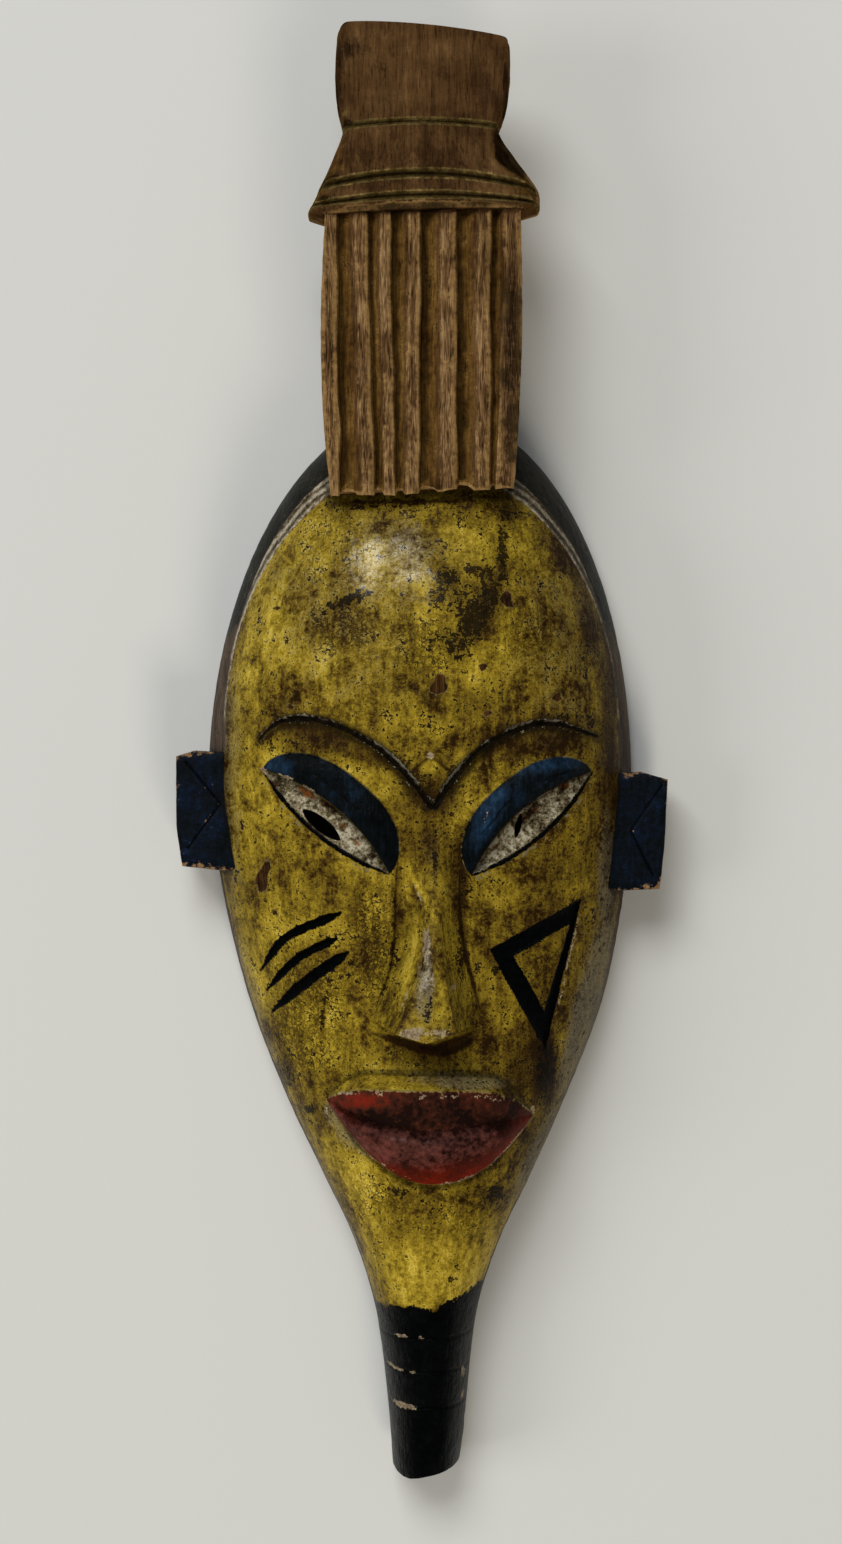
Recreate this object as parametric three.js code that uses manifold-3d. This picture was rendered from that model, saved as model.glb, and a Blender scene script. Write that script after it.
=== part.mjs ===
// A carved and painted wooden face mask of the Guro kind, cut from one block of wood.
// It lies on its back rim with the face up: +X is to the right seen from the front,
// +Y runs to the top of the crest and +Z comes out of the face. All sizes are millimetres.
// The origin is on the floor under the middle of the whole mask.
// Heights in the tables are taken along Y from a line just below the brows.

import * as THREE from 'three';
import { mergeVertices } from 'three/addons/utils/BufferGeometryUtils.js';
import Module from 'manifold-3d';

// The block: the back rim's outline, as height along Y and half widths left and right
const crestTop = 303.1;
const beardTip = -306.5;
const headTop = 150.5;
const widest = -14;
const headPower = { left: 2, right: 2.1 };
const rim = [
  [widest, 92.6, 90.8], [-59, 86.2, 87.4], [-106, 74.4, 78], [-146, 59, 62.6], [-183, 41.4, 46],
  [-205, 30.8, 35.2], [-228, 22.8, 26.8], [-247, 18.6, 22.6], [-280, 14.7, 19.2], [beardTip, 13, 16.8],
];
const crownOffset = 2.2;
const domeTop = 40;
const crown = [
  [domeTop, 76], [10, 75.5], [-20, 71.5], [-50, 66.5], [-100, 62], [-145, 59], [-185, 54.5],
  [-210, 49.5], [-232, 45], [-260, 41], [beardTip, 35],
];
const sectionPower = 2.6;
const sweepPower = 2;

// The hair cap lies a step behind the edge of the face
const faceEdge = {
  halfWidth: 83.2, height: 108, centre: 13.5, ledge: 3, step: 0.12, fadeFrom: -36, fadeTo: 6,
};

// Brows: two incised arcs that meet in a V above the nose, with the face a little deeper below them
const brow = { width: 2.8, depth: 1.9, overhang: 2.2, reach: 16 };
const browLeft = [[-67.5, 7], [-59.5, 13.6], [-46, 15], [-32, 10.8], [-17.5, 2.6], [-5, -9.5], [4.4, -22]];
const browRight = [[4.6, -22], [12.4, -10.3], [24, 2.2], [39.6, 10.8], [54, 13.2], [73.2, 8]];

// Eyes: slanted, with a swelling upper lid over a flat white and a slit cut through it
const eyeLeft = {
  outer: [-67, -5.4], inner: [-13, -49.4], lid: 22,
  slit: { u: 34.5, v: -2.2, length: 20, half: 2.8, lean: 0 },
};
const eyeRight = {
  outer: [71.5, -6.4], inner: [20, -50], lid: 21,
  slit: { u: 28.6, v: 3, length: 10, half: 1.15, lean: 0.66 },
};
const eye = {
  white: 7.4, low: -6.2, swell: 4.6, sinkLow: 1, sinkHigh: 3.4, socket: 3, lineWidth: 2.4, lineDepth: 1.3,
  steps: 14,
};

// Nose: a bridge that starts in the V of the brows and widens to the tip
const nose = { top: -24, tip: -110, drop: 7, wing: 0.3, steps: 12, flank: 3 };
const noseLine = [[nose.top, 4.4], [-67, 5.4], [-92, 4.2], [nose.tip, 1.6]];
const noseRidge = [[nose.top, 3.5], [-42, 4.4], [-67, 2.8], [-90, 6], [nose.tip, 13]];
const noseFoot = [[nose.top, 8], [-50, 13], [-67, 11.6], [-83, 13.4], [-94, 18], [nose.tip, 23]];
const noseRise = [[nose.top, 0], [-40, 5.5], [-67, 13], [-90, 21], [nose.tip, 28.5]];

// Mouth: thin upper lip, full lower lip, on a muzzle that swells out of the face
const mouth = { centre: 3.4, half: 43.4, corner: -147.5, tilt: -3.6, above: 9.6, seam: -7.5, below: -30.4 };
const lips = {
  ridge: 9, upper: 0.5, lower: 9.8, edge: 3.6, bevel: 6.5, round: 1.8, roundRight: 2.3, steps: 20,
};
const muzzle = { centre: -152, rise: 6, wide: 34, tall: 26 };

// Grooves cut in the cheeks: three tapered strokes, and a triangle of three bars
const stroke = { depth: 2, steps: 5 };
const strokes = [
  { path: [[-68, -90.6], [-57.3, -76.6], [-33.9, -65.4]], width: 3.6 },
  { path: [[-65.5, -99], [-51.8, -84.6], [-35.2, -75.8]], width: 3.3 },
  { path: [[-63, -107.8], [-48.8, -94.8], [-30.9, -81.8]], width: 4.6 },
];
const triangle = [
  { path: [[30.6, -80.3], [64.2, -63]], width: 5.2 },
  { path: [[32, -80.5], [50.8, -116.6]], width: 6.6 },
  { path: [[65, -63.4], [51.2, -117.6]], width: 2.9 },
];

// Beard: three rings are cut round its front, and its back is cut away
const beard = {
  rings: [-245.4, -260, -275.6], ringWidth: 1.8, ringDepth: 1, ringReach: 0.93, backFrom: -236, backRise: 10,
  tipFrom: -290, lowest: -5, slant: 0.21, corner: 0.03,
};

// Hollow behind the face
const hollow = { wall: 12.5, top: 127, bottom: -203, skin: 14, blunt: 9, rows: 22, steps: 24 };

// Crest: a fluted block that stands off the forehead, under a flared board
const blockFoot = 107.5;
const blockTop = 228;
const blockSide = [
  [blockFoot, 37.6, 37.9], [127, 39.8, 39.3], [145, 41.1, 40.3], [180, 41.8, 41.5], [blockTop, 40, 40.8],
];
const blockFront = [[blockFoot, 71], [150, 67.5], [blockTop, 65]];
const blockBack = [[blockFoot, 20], [150, 31], [blockTop, 38]];
const ridgesTop = [-37.7, -25.3, -15.2, -3.3, 11, 25.5, 37.1];
const ridgesFoot = [-36.4, -22.3, -13.2, -3.9, 11, 25.2, 33.6];
const ridgeHalf = [2.5, 2.9, 2.3, 2.7, 3.2, 2.9, 3.3];
const ridgesHigh = 198;
const flute = { depth: 4, steep: 1.2, wobble: 0.6, waves: 37, rows: 14 };

// Board: rows of height, front half widths left and right, back half widths left and right, front
const board = {
  top: crestTop - 1.35, foot: 225, corner: [4, 3], back: 38, backTop: 40, across: 12, bulge: 0.0011,
};
const boardRows = [
  [board.foot, 39.8, 41.2, 41.5, 42.5, 68], [229.5, 45, 46, 47.6, 48.4, 69.5],
  [236, 43, 45, 45.6, 49.4, 68.2], [242.5, 39.5, 42.4, 42.9, 48.6, 66.6],
  [247.5, 36.5, 31.8, 40, 44.4, 65], [254, 33.8, 31, 36.8, 38.2, 64],
  [262, 31.3, 30.6, 33.4, 32.2, 63], [272, 31.6, 31.8, 35.4, 34.6, 63.2],
  [282, 32.2, 33, 36.4, 36.4, 63.6], [board.top, 31.6, 34.8, 35.4, 37.4, 65],
];
// Every line across the board leans and sags a little: height, lean, sag at 40 mm from the middle
const boardLean = [[board.foot, 0.03], [240, 0.005], [262, 0], [285, -0.045], [board.top, -0.09]];
const boardSag = [[board.foot, 0.8], [231, 2.8], [240, 4.6], [262, 3.2], [board.top, 2.4]];
// Grooves across the board: height at the middle, half width, depth
const boardGrooves = [[262.2, 1.3, 1.6], [239.8, 2.1, 2.6], [230.6, 1.7, 2.4]];

// Ears: square blocks, each with an arrow cut in its front
const ear = { thick: 23, back: 10, cutHalf: 1.3, cutDepth: 1.2 };
const earLeft = {
  outline: [
    [-78, 1], [-84, 1.4], [-96.5, 2.2], [-104.2, -0.3], [-104.2, -30], [-101.6, -47], [-84, -48.8], [-78, -48],
  ],
  arrow: [[-100.2, -2.4], [-85.2, -20.5], [-99, -39.3]],
};
const earRight = {
  outline: [
    [78, -7], [83.2, -7.2], [92.8, -6.9], [104.2, -10.1], [102.9, -37.6], [100.8, -56.6], [82, -57.4], [78, -56],
  ],
  arrow: [[101.8, -12.3], [88.4, -31.8], [97.8, -50.9]],
};

const wood = { color: 0x8a7224, roughness: 0.55, metalness: 0 };
const surfaceTolerance = 0.55;
const gridLevels = 9;
const hiddenWeight = 0.12;

const wasm = await Module();
wasm.setup();

const clamp = (v, lo, hi) => Math.min(hi, Math.max(lo, v));
const lerp = (a, b, t) => a + (b - a) * t;

// 0 below a, 1 above b, smooth between
function ease(a, b, v) {
  const t = clamp((v - a) / (b - a), 0, 1);
  return t * t * (3 - 2 * t);
}

// A smooth line through the rows of a table: column 0 is where, the given column is the value
function smoothLine(rows, column = 1) {
  const list = rows[0][0] <= rows[rows.length - 1][0] ? rows : [...rows].reverse();
  const slope = list.map((row, i) => {
    const a = list[Math.max(0, i - 1)];
    const b = list[Math.min(list.length - 1, i + 1)];
    return (b[column] - a[column]) / (b[0] - a[0]);
  });
  return (v) => {
    if (v <= list[0][0]) return list[0][column];
    if (v >= list[list.length - 1][0]) return list[list.length - 1][column];
    const i = list.findIndex((row) => row[0] > v) - 1;
    const step = list[i + 1][0] - list[i][0];
    const t = (v - list[i][0]) / step;
    const rise = list[i + 1][column] - list[i][column];
    const start = slope[i] * step;
    const end = slope[i + 1] * step;
    return list[i][column] + t * (start + t * (3 * rise - 2 * start - end + t * (start + end - 2 * rise)));
  };
}

const rimLeft = smoothLine(rim, 1);
const rimRight = smoothLine(rim, 2);
const crownHeight = smoothLine(crown);

// The back rim's half width: a half ellipse over the top, the table below it
function halfWidth(y, side) {
  const table = side < 0 ? rimLeft : rimRight;
  const t = clamp((y - widest) / (headTop - widest), 0, 1);
  const power = side < 0 ? headPower.left : headPower.right;
  return table(y) * (1 - t ** power) ** (1 / power);
}

// The height of the middle line, without the nose and the other carving
function crownAt(y) {
  const t = clamp((y - domeTop) / (headTop - domeTop), 0, 1);
  return crownHeight(y) * Math.sqrt(1 - t * t);
}

// Distance to a path, how far along it the nearest point is, and on which side
function nearPath(points, x, y) {
  let best = { distance: Infinity, along: 0, side: 1 };
  let walked = 0;
  for (let i = 0; i + 1 < points.length; i++) {
    const [ax, ay] = points[i];
    const dx = points[i + 1][0] - ax;
    const dy = points[i + 1][1] - ay;
    const length = Math.hypot(dx, dy);
    const t = clamp(((x - ax) * dx + (y - ay) * dy) / (length * length), 0, 1);
    const distance = Math.hypot(x - ax - t * dx, y - ay - t * dy);
    if (distance < best.distance) {
      best = { distance, along: walked + t * length, side: Math.sign((y - ay) * dx - (x - ax) * dy) };
    }
    walked += length;
  }
  return { ...best, length: walked };
}

// A path of a few points made smooth by a curve through them
function curved(points, parts) {
  const curve = new THREE.CatmullRomCurve3(points.map(([x, y]) => new THREE.Vector3(x, y, 0)));
  return curve.getPoints(parts).map((p) => [p.x, p.y]);
}

const browPaths = [curved(browLeft, 14), curved(browRight, 14)];

// The face below a brow lies a little deeper than the forehead, and comes back up towards the cheek
function browRelief(x, y) {
  const near = nearPath(browPaths[x < 4.5 ? 0 : 1], x, y);
  if (near.side > 0) return 0;
  const under = ease(0, 2, near.distance) * ease(brow.reach, 2, near.distance);
  return -brow.overhang * under * ease(0, 12, near.along) * ease(0, 12, near.length - near.along);
}

// The sockets: a shallow bowl behind each eye
function socketRelief({ outer, inner }, x, y) {
  const along = [inner[0] - outer[0], inner[1] - outer[1]];
  const length = Math.hypot(...along);
  const dx = x - (outer[0] + inner[0]) / 2;
  const dy = y - (outer[1] + inner[1]) / 2;
  const u = (dx * along[0] + dy * along[1]) / length;
  const v = (Math.sign(along[0]) * (dy * along[0] - dx * along[1])) / length;
  return -eye.socket * Math.exp(-((u / (0.4 * length)) ** 2) - ((v - 4) / 20) ** 2);
}

// The lips' three arcs at x: upper edge, seam and lower edge, and how full the lips are there
function lipArcs(x) {
  const u = clamp((x - mouth.centre) / mouth.half, -1, 1);
  const a = Math.abs(u);
  const corner = mouth.corner + mouth.tilt * u * a * a;
  return {
    top: corner + mouth.above * (1 - a ** 5),
    seam: corner + mouth.seam * (1 - a ** 1.6),
    low: corner + mouth.below * (1 - a ** (u < 0 ? lips.round : lips.roundRight)),
    full: Math.min(1, 1.6 * (1 - a * a)) ** 0.75,
  };
}

// The face swells out into a muzzle behind the lips
function muzzleRelief(x, y) {
  const side = (x - mouth.centre) / muzzle.wide;
  const up = (y - muzzle.centre) / muzzle.tall;
  return muzzle.rise * Math.exp(-side * side - up * up);
}

// How far outside the face's edge a point is: 0 on the face, 1 past the ledge, on the hair
function hairAt(x, y) {
  const high = faceEdge.height - (x > 0 ? 0.03 * x : 0);
  const reach = Math.hypot(x / faceEdge.halfWidth, Math.max(0, y - faceEdge.centre) / high);
  const outside = (reach - 1) * faceEdge.halfWidth;
  return ease(0, faceEdge.ledge, outside) * ease(faceEdge.fadeFrom, faceEdge.fadeTo, y);
}

// The front's height, given how much of the crown's height is left this far out: lift
function carvedHeight(x, y, lift) {
  const z = crownAt(y) * lift * (1 - faceEdge.step * hairAt(x, y));
  const carved = browRelief(x, y) + muzzleRelief(x, y)
    + socketRelief(eyeLeft, x, y) + socketRelief(eyeRight, x, y);
  return Math.max(0, z + carved * ease(0, 0.35, lift));
}

// The front's height over any point of the mask, before the lids, nose and lips are added
function heightAt(x, y) {
  const side = x < crownOffset ? -1 : 1;
  const s = clamp(Math.abs(x - crownOffset) / (halfWidth(y, side) - side * crownOffset), 0, 1);
  return carvedHeight(x, y, (1 - s ** sectionPower) ** (1 / sweepPower));
}

// The tip of the beard is cut a little askew, with its corners off
function tipCut(x, y) {
  const right = Math.max(0, x - beard.lowest);
  const left = Math.max(0, beard.lowest - x);
  return y + (beard.slant * right + beard.corner * left * left) * ease(beard.tipFrom, beardTip, y);
}

// The front surface: a runs from the head's top to the beard's tip, b round from the left rim
function frontPoint(a, b) {
  const y = headTop - (headTop - beardTip) * a * (a + 1) / 2;
  const turn = (b - 0.5) * Math.PI;
  const sine = Math.sin(turn);
  const side = Math.sign(sine);
  const half = halfWidth(y, side);
  const middle = Math.min(crownOffset, half);
  const x = middle + side * Math.abs(sine) ** (2 / sectionPower) * (half - side * middle);
  const lift = Math.max(0, Math.cos(turn)) ** (2 / sweepPower);
  return [x, tipCut(x, y), carvedHeight(x, y, lift)];
}

// The head's top is hidden inside the crest, where a coarse surface will do
function underBlock(x, y, z) {
  const inside = Math.abs(x) < blockSide[0][1] - 3 && y > blockFoot + 5 && z > blockBack[1][1];
  return inside ? hiddenWeight : 1;
}

// Right triangles halved where the surface needs it, over a square grid of 2^levels cells.
// A middle point's error counts its children's, so neighbours always split alike.
function adaptiveGrid(surface, weight, levels, tolerance) {
  const cells = 2 ** levels;
  const size = cells + 1;
  const points = new Float64Array(size * size * 3);
  for (let j = 0; j < size; j++) {
    for (let i = 0; i < size; i++) points.set(surface(j / cells, i / cells), (j * size + i) * 3);
  }
  const bend = (a, b, m) => {
    const from = new THREE.Vector3().fromArray(points, a * 3);
    const chord = new THREE.Vector3().fromArray(points, b * 3).sub(from);
    const offset = new THREE.Vector3().fromArray(points, m * 3).sub(from);
    const length = chord.length();
    return length < 1e-9 ? offset.length() : offset.cross(chord).length() / length;
  };
  const errors = new Float64Array(size * size);
  const corners = (index) => {
    let id = index + 2;
    let [ax, ay, bx, by, cx, cy] = id & 1 ? [0, 0, cells, cells, cells, 0] : [cells, cells, 0, 0, 0, cells];
    while ((id >>= 1) > 1) {
      const mx = (ax + bx) / 2;
      const my = (ay + by) / 2;
      [ax, ay, bx, by] = id & 1 ? [cx, cy, ax, ay] : [bx, by, cx, cy];
      [cx, cy] = [mx, my];
    }
    return [ax, ay, bx, by, cx, cy];
  };
  const count = 2 * cells * cells - 2;
  const parents = count - cells * cells;
  for (let index = count - 1; index >= 0; index--) {
    const [ax, ay, bx, by, cx, cy] = corners(index);
    const middle = ((ay + by) / 2) * size + (ax + bx) / 2;
    const seen = weight(...points.subarray(middle * 3, middle * 3 + 3));
    let error = Math.max(errors[middle], seen * bend(ay * size + ax, by * size + bx, middle));
    if (index < parents) {
      const first = ((ay + cy) / 2) * size + (ax + cx) / 2;
      const second = ((by + cy) / 2) * size + (bx + cx) / 2;
      error = Math.max(error, errors[first], errors[second]);
    }
    errors[middle] = error;
  }
  const triangles = [];
  const split = (ax, ay, bx, by, cx, cy) => {
    const mx = (ax + bx) / 2;
    const my = (ay + by) / 2;
    if (Math.abs(ax - cx) + Math.abs(ay - cy) > 1 && errors[my * size + mx] > tolerance) {
      split(cx, cy, ax, ay, mx, my);
      split(bx, by, cx, cy, mx, my);
    } else {
      triangles.push([ay * size + ax, by * size + bx, cy * size + cx]);
    }
  };
  split(0, 0, cells, cells, cells, 0);
  split(cells, cells, 0, 0, 0, cells);
  return { points, triangles, size };
}

function geometryOf(positions, indices) {
  const geometry = new THREE.BufferGeometry();
  geometry.setAttribute('position', new THREE.Float32BufferAttribute(positions, 3));
  geometry.setIndex(indices);
  return geometry;
}

// A closed geometry as a solid, with its shared points merged and its flat triangles left out
function solid(geometry) {
  for (const name of Object.keys(geometry.attributes)) {
    if (name !== 'position') geometry.deleteAttribute(name);
  }
  const merged = mergeVertices(geometry, 1e-4);
  const index = merged.index.array;
  const kept = [];
  for (let i = 0; i < index.length; i += 3) {
    const [a, b, c] = [index[i], index[i + 1], index[i + 2]];
    if (a !== b && b !== c && a !== c) kept.push(a, b, c);
  }
  const mesh = new wasm.Mesh({
    numProp: 3,
    vertProperties: new Float32Array(merged.attributes.position.array),
    triVerts: new Uint32Array(kept),
  });
  return new wasm.Manifold(mesh);
}

// Adds the flat face inside a loop of points, turned to look along the outward direction
function closeLoop(positions, indices, loop, outward) {
  const point = (i) => new THREE.Vector3().fromArray(positions, i * 3);
  const flat = outward.z !== 0 ? (p) => new THREE.Vector2(p.x, p.y) : (p) => new THREE.Vector2(p.x, p.z);
  for (const corners of THREE.ShapeUtils.triangulateShape(loop.map((i) => flat(point(i))), [])) {
    const [a, b, c] = corners.map((corner) => loop[corner]);
    const normal = point(b).sub(point(a)).cross(point(c).sub(point(a)));
    indices.push(a, ...(normal.dot(outward) > 0 ? [b, c] : [c, b]));
  }
}

const upAxis = new THREE.Vector3(0, 1, 0);
const downAxis = new THREE.Vector3(0, -1, 0);
const backAxis = new THREE.Vector3(0, 0, -1);

// The face, head and beard: the front surface closed by a flat back and a flat beard tip
function faceSolid() {
  const { points, triangles, size } = adaptiveGrid(frontPoint, underBlock, gridLevels, surfaceTolerance);
  const used = new Set(triangles.flat());
  const cells = size - 1;
  const border = (place) => Array.from({ length: size }, (_, i) => place(i)).filter((i) => used.has(i));
  const leftEdge = border((row) => row * size + 0);
  const rightEdge = border((row) => row * size + cells);
  const tipEdge = border((column) => cells * size + column);
  const positions = Array.from(points);
  const indices = triangles.flat();
  closeLoop(positions, indices, [...leftEdge, ...rightEdge.slice(1).reverse()], backAxis);
  closeLoop(positions, indices, tipEdge, downAxis);
  return solid(geometryOf(positions, indices));
}

// The faces between each ring of points and the next
function tubeFaces(rings) {
  const count = rings[0].length;
  const indices = [];
  for (let j = 0; j + 1 < rings.length; j++) {
    for (let k = 0; k < count; k++) {
      const a = j * count + k;
      const b = j * count + ((k + 1) % count);
      indices.push(a, b, b + count, a, b + count, a + count);
    }
  }
  return indices;
}

// A closed tube of rings with nearly flat, convex ends, each running from left to right over the top
function tube(rings) {
  const indices = tubeFaces(rings);
  const last = (rings.length - 1) * rings[0].length;
  for (let k = 1; k + 1 < rings[0].length; k++) indices.push(0, k + 1, k, last, last + k, last + k + 1);
  return solid(geometryOf(rings.flat(2), indices));
}

// Rings of points at rising heights, each running over the front to the right and home at the back
function loft(rings) {
  const count = rings[0].length;
  const positions = rings.flat(2);
  const indices = tubeFaces(rings);
  const ring = Array.from({ length: count }, (_, k) => k);
  closeLoop(positions, indices, ring, downAxis);
  closeLoop(positions, indices, ring.map((k) => k + (rings.length - 1) * count), upAxis);
  return solid(geometryOf(positions, indices));
}

// The hollow: a smaller head and brow that opens through the back
function hollowSolid() {
  const rings = [];
  for (let j = 0; j <= hollow.rows; j++) {
    const turn = -Math.cos((j / hollow.rows) * Math.PI);
    const y = lerp(hollow.bottom, hollow.top, (turn + 1) / 2);
    const close = Math.max(0.02, Math.sqrt(1 - Math.abs(turn) ** hollow.blunt));
    const ring = [];
    for (let k = 0; k <= hollow.steps; k++) {
      const angle = (k / hollow.steps - 0.5) * Math.PI;
      const side = Math.sin(angle) < 0 ? -1 : 1;
      const s = Math.abs(Math.sin(angle)) ** (2 / sectionPower);
      const half = (halfWidth(y, side) - hollow.wall) * close;
      ring.push([side * s * half, y, Math.cos(angle) * (crownAt(y) - hollow.skin) * close]);
    }
    const [left, right] = [ring[0], ring[ring.length - 1]];
    ring.push([right[0], y, -5], [left[0], y, -5]);
    rings.push(ring);
  }
  return loft(rings);
}

// The fluted block: flat ridges with gouged channels between, steep on their left side
function blockSolid() {
  const left = smoothLine(blockSide, 1);
  const right = smoothLine(blockSide, 2);
  const front = smoothLine(blockFront);
  const back = smoothLine(blockBack);
  const rings = [];
  for (let j = 0; j <= flute.rows; j++) {
    const y = lerp(blockFoot, blockTop, j / flute.rows);
    const t = clamp((y - blockFoot) / (ridgesHigh - blockFoot), 0, 1);
    const ring = [];
    ridgesTop.forEach((top, i) => {
      const sway = flute.wobble * Math.sin((2 * Math.PI * y) / flute.waves + 2.1 * i);
      const centre = lerp(ridgesFoot[i], top, t) + sway;
      const last = i === ridgesTop.length - 1;
      const from = i === 0 ? -left(y) : centre - ridgeHalf[i];
      const to = last ? right(y) : centre + ridgeHalf[i];
      const deep = flute.depth * (1 + 0.12 * Math.sin(1.7 * i + y / 19));
      ring.push([from, y, front(y)], [to, y, front(y)]);
      if (!last) ring.push([to + flute.steep, y, front(y) - deep]);
    });
    ring.push([right(y), y, back(y)], [-left(y), y, back(y)]);
    rings.push(ring);
  }
  return loft(rings);
}

// The board, its waist and its flared brim, with three grooves across the front
function boardSolid() {
  const columns = [1, 2, 3, 4, 5].map((column) => smoothLine(boardRows, column));
  const lean = smoothLine(boardLean);
  const sag = smoothLine(boardSag);
  const heights = [...boardRows.map(([y]) => y), 292];
  for (const [y, half] of boardGrooves) heights.push(y - half, y, y + half);
  for (const part of [0, 0.4, 0.75]) heights.push(board.top - Math.max(...board.corner) * (1 - part));
  const rings = [...new Set(heights)].sort((a, b) => a - b).map((height) => {
    const [frontLeft, frontRight, backLeft, backRight, front] = columns.map((line) => line(height));
    const [roundLeft, roundRight] = board.corner.map((radius) => {
      const past = clamp((height - board.top + radius) / radius, 0, 1);
      return radius * (1 - Math.sqrt(1 - past * past));
    });
    let deep = 0;
    for (const [y, half, depth] of boardGrooves) {
      deep = Math.max(deep, depth * ease(half, 0, Math.abs(height - y)));
    }
    const at = (x, z) => [x, height + lean(height) * x - sag(height) * (x / 40) ** 2, z];
    const back = lerp(board.back, board.backTop, (height - board.foot) / (board.top - board.foot));
    const ring = [];
    for (let k = 0; k <= board.across; k++) {
      const x = lerp(-frontLeft + roundLeft, frontRight - roundRight, k / board.across);
      ring.push(at(x, front - deep - board.bulge * x * x));
    }
    const belly = lerp(front, back, 0.6);
    ring.push(at(backRight - roundRight, belly), at(backRight - roundRight, back));
    ring.push(at(-backLeft + roundLeft, back), at(-backLeft + roundLeft, belly));
    return ring;
  });
  return loft(rings);
}

// A flat outline swept along an axis: right and up span the outline, out is the sweep
function prism(outline, depth, right, up, out, origin) {
  const shape = new THREE.Shape(outline.map(([x, y]) => new THREE.Vector2(x, y)));
  const geometry = new THREE.ExtrudeGeometry(shape, { depth, bevelEnabled: false });
  const frame = new THREE.Matrix4().makeBasis(right, up, out).setPosition(origin);
  return solid(geometry.applyMatrix4(frame));
}

const xAxis = new THREE.Vector3(1, 0, 0);
const yAxis = new THREE.Vector3(0, 1, 0);
const zAxis = new THREE.Vector3(0, 0, 1);

function earSolid({ outline, arrow }) {
  const origin = new THREE.Vector3(0, 0, ear.back);
  let block = prism(outline, ear.thick, xAxis, yAxis, zAxis, origin);
  const section = [[-ear.cutHalf, 0], [0, -ear.cutDepth], [ear.cutHalf, 0], [0, ear.cutDepth]];
  for (let i = 0; i + 1 < arrow.length; i++) {
    const from = new THREE.Vector3(...arrow[i], ear.back + ear.thick);
    const along = new THREE.Vector3(...arrow[i + 1], ear.back + ear.thick).sub(from);
    const out = along.clone().normalize();
    block = block.subtract(prism(section, along.length(), zAxis.clone().cross(out), zAxis, out, from));
  }
  return block;
}

// An eye's own frame: a point u along it from the left end to the right end, and v up towards the brow
function eyeFrame({ outer, inner }) {
  const [left, right] = outer[0] < inner[0] ? [outer, inner] : [inner, outer];
  const from = new THREE.Vector2(...left);
  const along = new THREE.Vector2(...right).sub(from);
  const length = along.length();
  along.normalize();
  const up = new THREE.Vector2(-along.y, along.x);
  const at = (u, v) => from.clone().addScaledVector(along, u).addScaledVector(up, v).toArray();
  return { at, length };
}

// A ring across an eye at t, from 0 to 1 along it: pairs of v and height over the face
function eyeRings(which, profile) {
  const { at, length } = eyeFrame(which);
  return Array.from({ length: eye.steps + 1 }, (_, i) => {
    const t = lerp(0.004, 0.996, (1 - Math.cos((i / eye.steps) * Math.PI)) / 2);
    const w = Math.abs(2 * t - 1);
    const arc = 1 - w * w;
    return profile(arc, which.lid * Math.sqrt(1 - w ** 2.4)).map(([v, lift]) => {
      const [x, y] = at(t * length, v);
      return [x, y, heightAt(x, y) + lift];
    });
  });
}

// The upper lid: a swelling crescent between its outer arc and the edge over the white
function lidSolid(which) {
  return tube(eyeRings(which, (arc, outer) => {
    const edge = eye.white * arc;
    const swell = eye.swell * Math.min(1, 2.4 * arc);
    const over = [1, 0.86, 0.68, 0.46, 0.22, 0].map((across) => {
      const sink = across === 1 ? 0.6 : 0;
      const lift = swell * (1 - across ** 2.2) * (0.8 + 0.2 * ease(0, 0.22, across));
      return [lerp(edge, outer, across), lift - sink];
    });
    return [...over, [edge - 0.3, -2], [edge, -9], [outer, -9]];
  }));
}

// The white: a flat let into the face under the lid's edge
function whiteSolid(which) {
  return tube(eyeRings(which, (arc) => {
    const high = eye.white * arc;
    const low = eye.low * arc;
    const full = Math.min(1, 3 * arc);
    return [[high, 9], [low, 9], [low, -eye.sinkLow * full], [high, -eye.sinkHigh * full]];
  }));
}

// The slit of an eye: a lens cut right through the shell
function slitSolid(which) {
  const { at } = eyeFrame(which);
  const { slit } = which;
  const outline = Array.from({ length: 16 }, (_, k) => {
    const angle = (k / 16) * 2 * Math.PI;
    const lens = Math.sin(angle) * Math.abs(Math.sin(angle)) ** 0.4;
    const turned = new THREE.Vector2((slit.length / 2) * Math.cos(angle), slit.half * lens);
    turned.rotateAround(new THREE.Vector2(), slit.lean);
    return at(slit.u + turned.x, slit.v + turned.y);
  });
  return prism(outline, 100, xAxis, yAxis, zAxis, new THREE.Vector3());
}

// The nose: a ridge with hollow flanks that stands on the face and is cut off under its tip
function noseSolid() {
  const tables = [noseLine, noseRidge, noseFoot, noseRise];
  const [centre, halfRidge, halfFoot, rise] = tables.map((rows) => smoothLine(rows));
  const rings = [];
  for (let j = nose.steps; j >= 0; j--) {
    const t = j / nose.steps;
    const y = lerp(nose.top, nose.tip, t);
    const ridge = halfRidge(y);
    const foot = halfFoot(y);
    const front = [];
    for (let k = -nose.flank - 1; k <= nose.flank + 1; k++) {
      const flank = clamp((Math.abs(k) - 1) / nose.flank, 0, 1);
      const off = k === 0 ? 0 : Math.sign(k) * lerp(ridge, foot, flank);
      const x = centre(y) + off;
      const cut = (nose.wing * Math.abs(off) - nose.drop) * ease(0.8, 1, t);
      const lift = rise(y) * (k === 0 ? 1 : 0.95 * (1 - flank) ** 1.35);
      front.push([x, y + cut, heightAt(x, y) + lift - (flank === 1 ? 0.6 : 0)]);
    }
    const [left, right] = [front[0], front[front.length - 1]];
    rings.push([...front, [right[0], right[1], right[2] - 14], [left[0], left[1], left[2] - 14]]);
  }
  return loft(rings);
}

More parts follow.
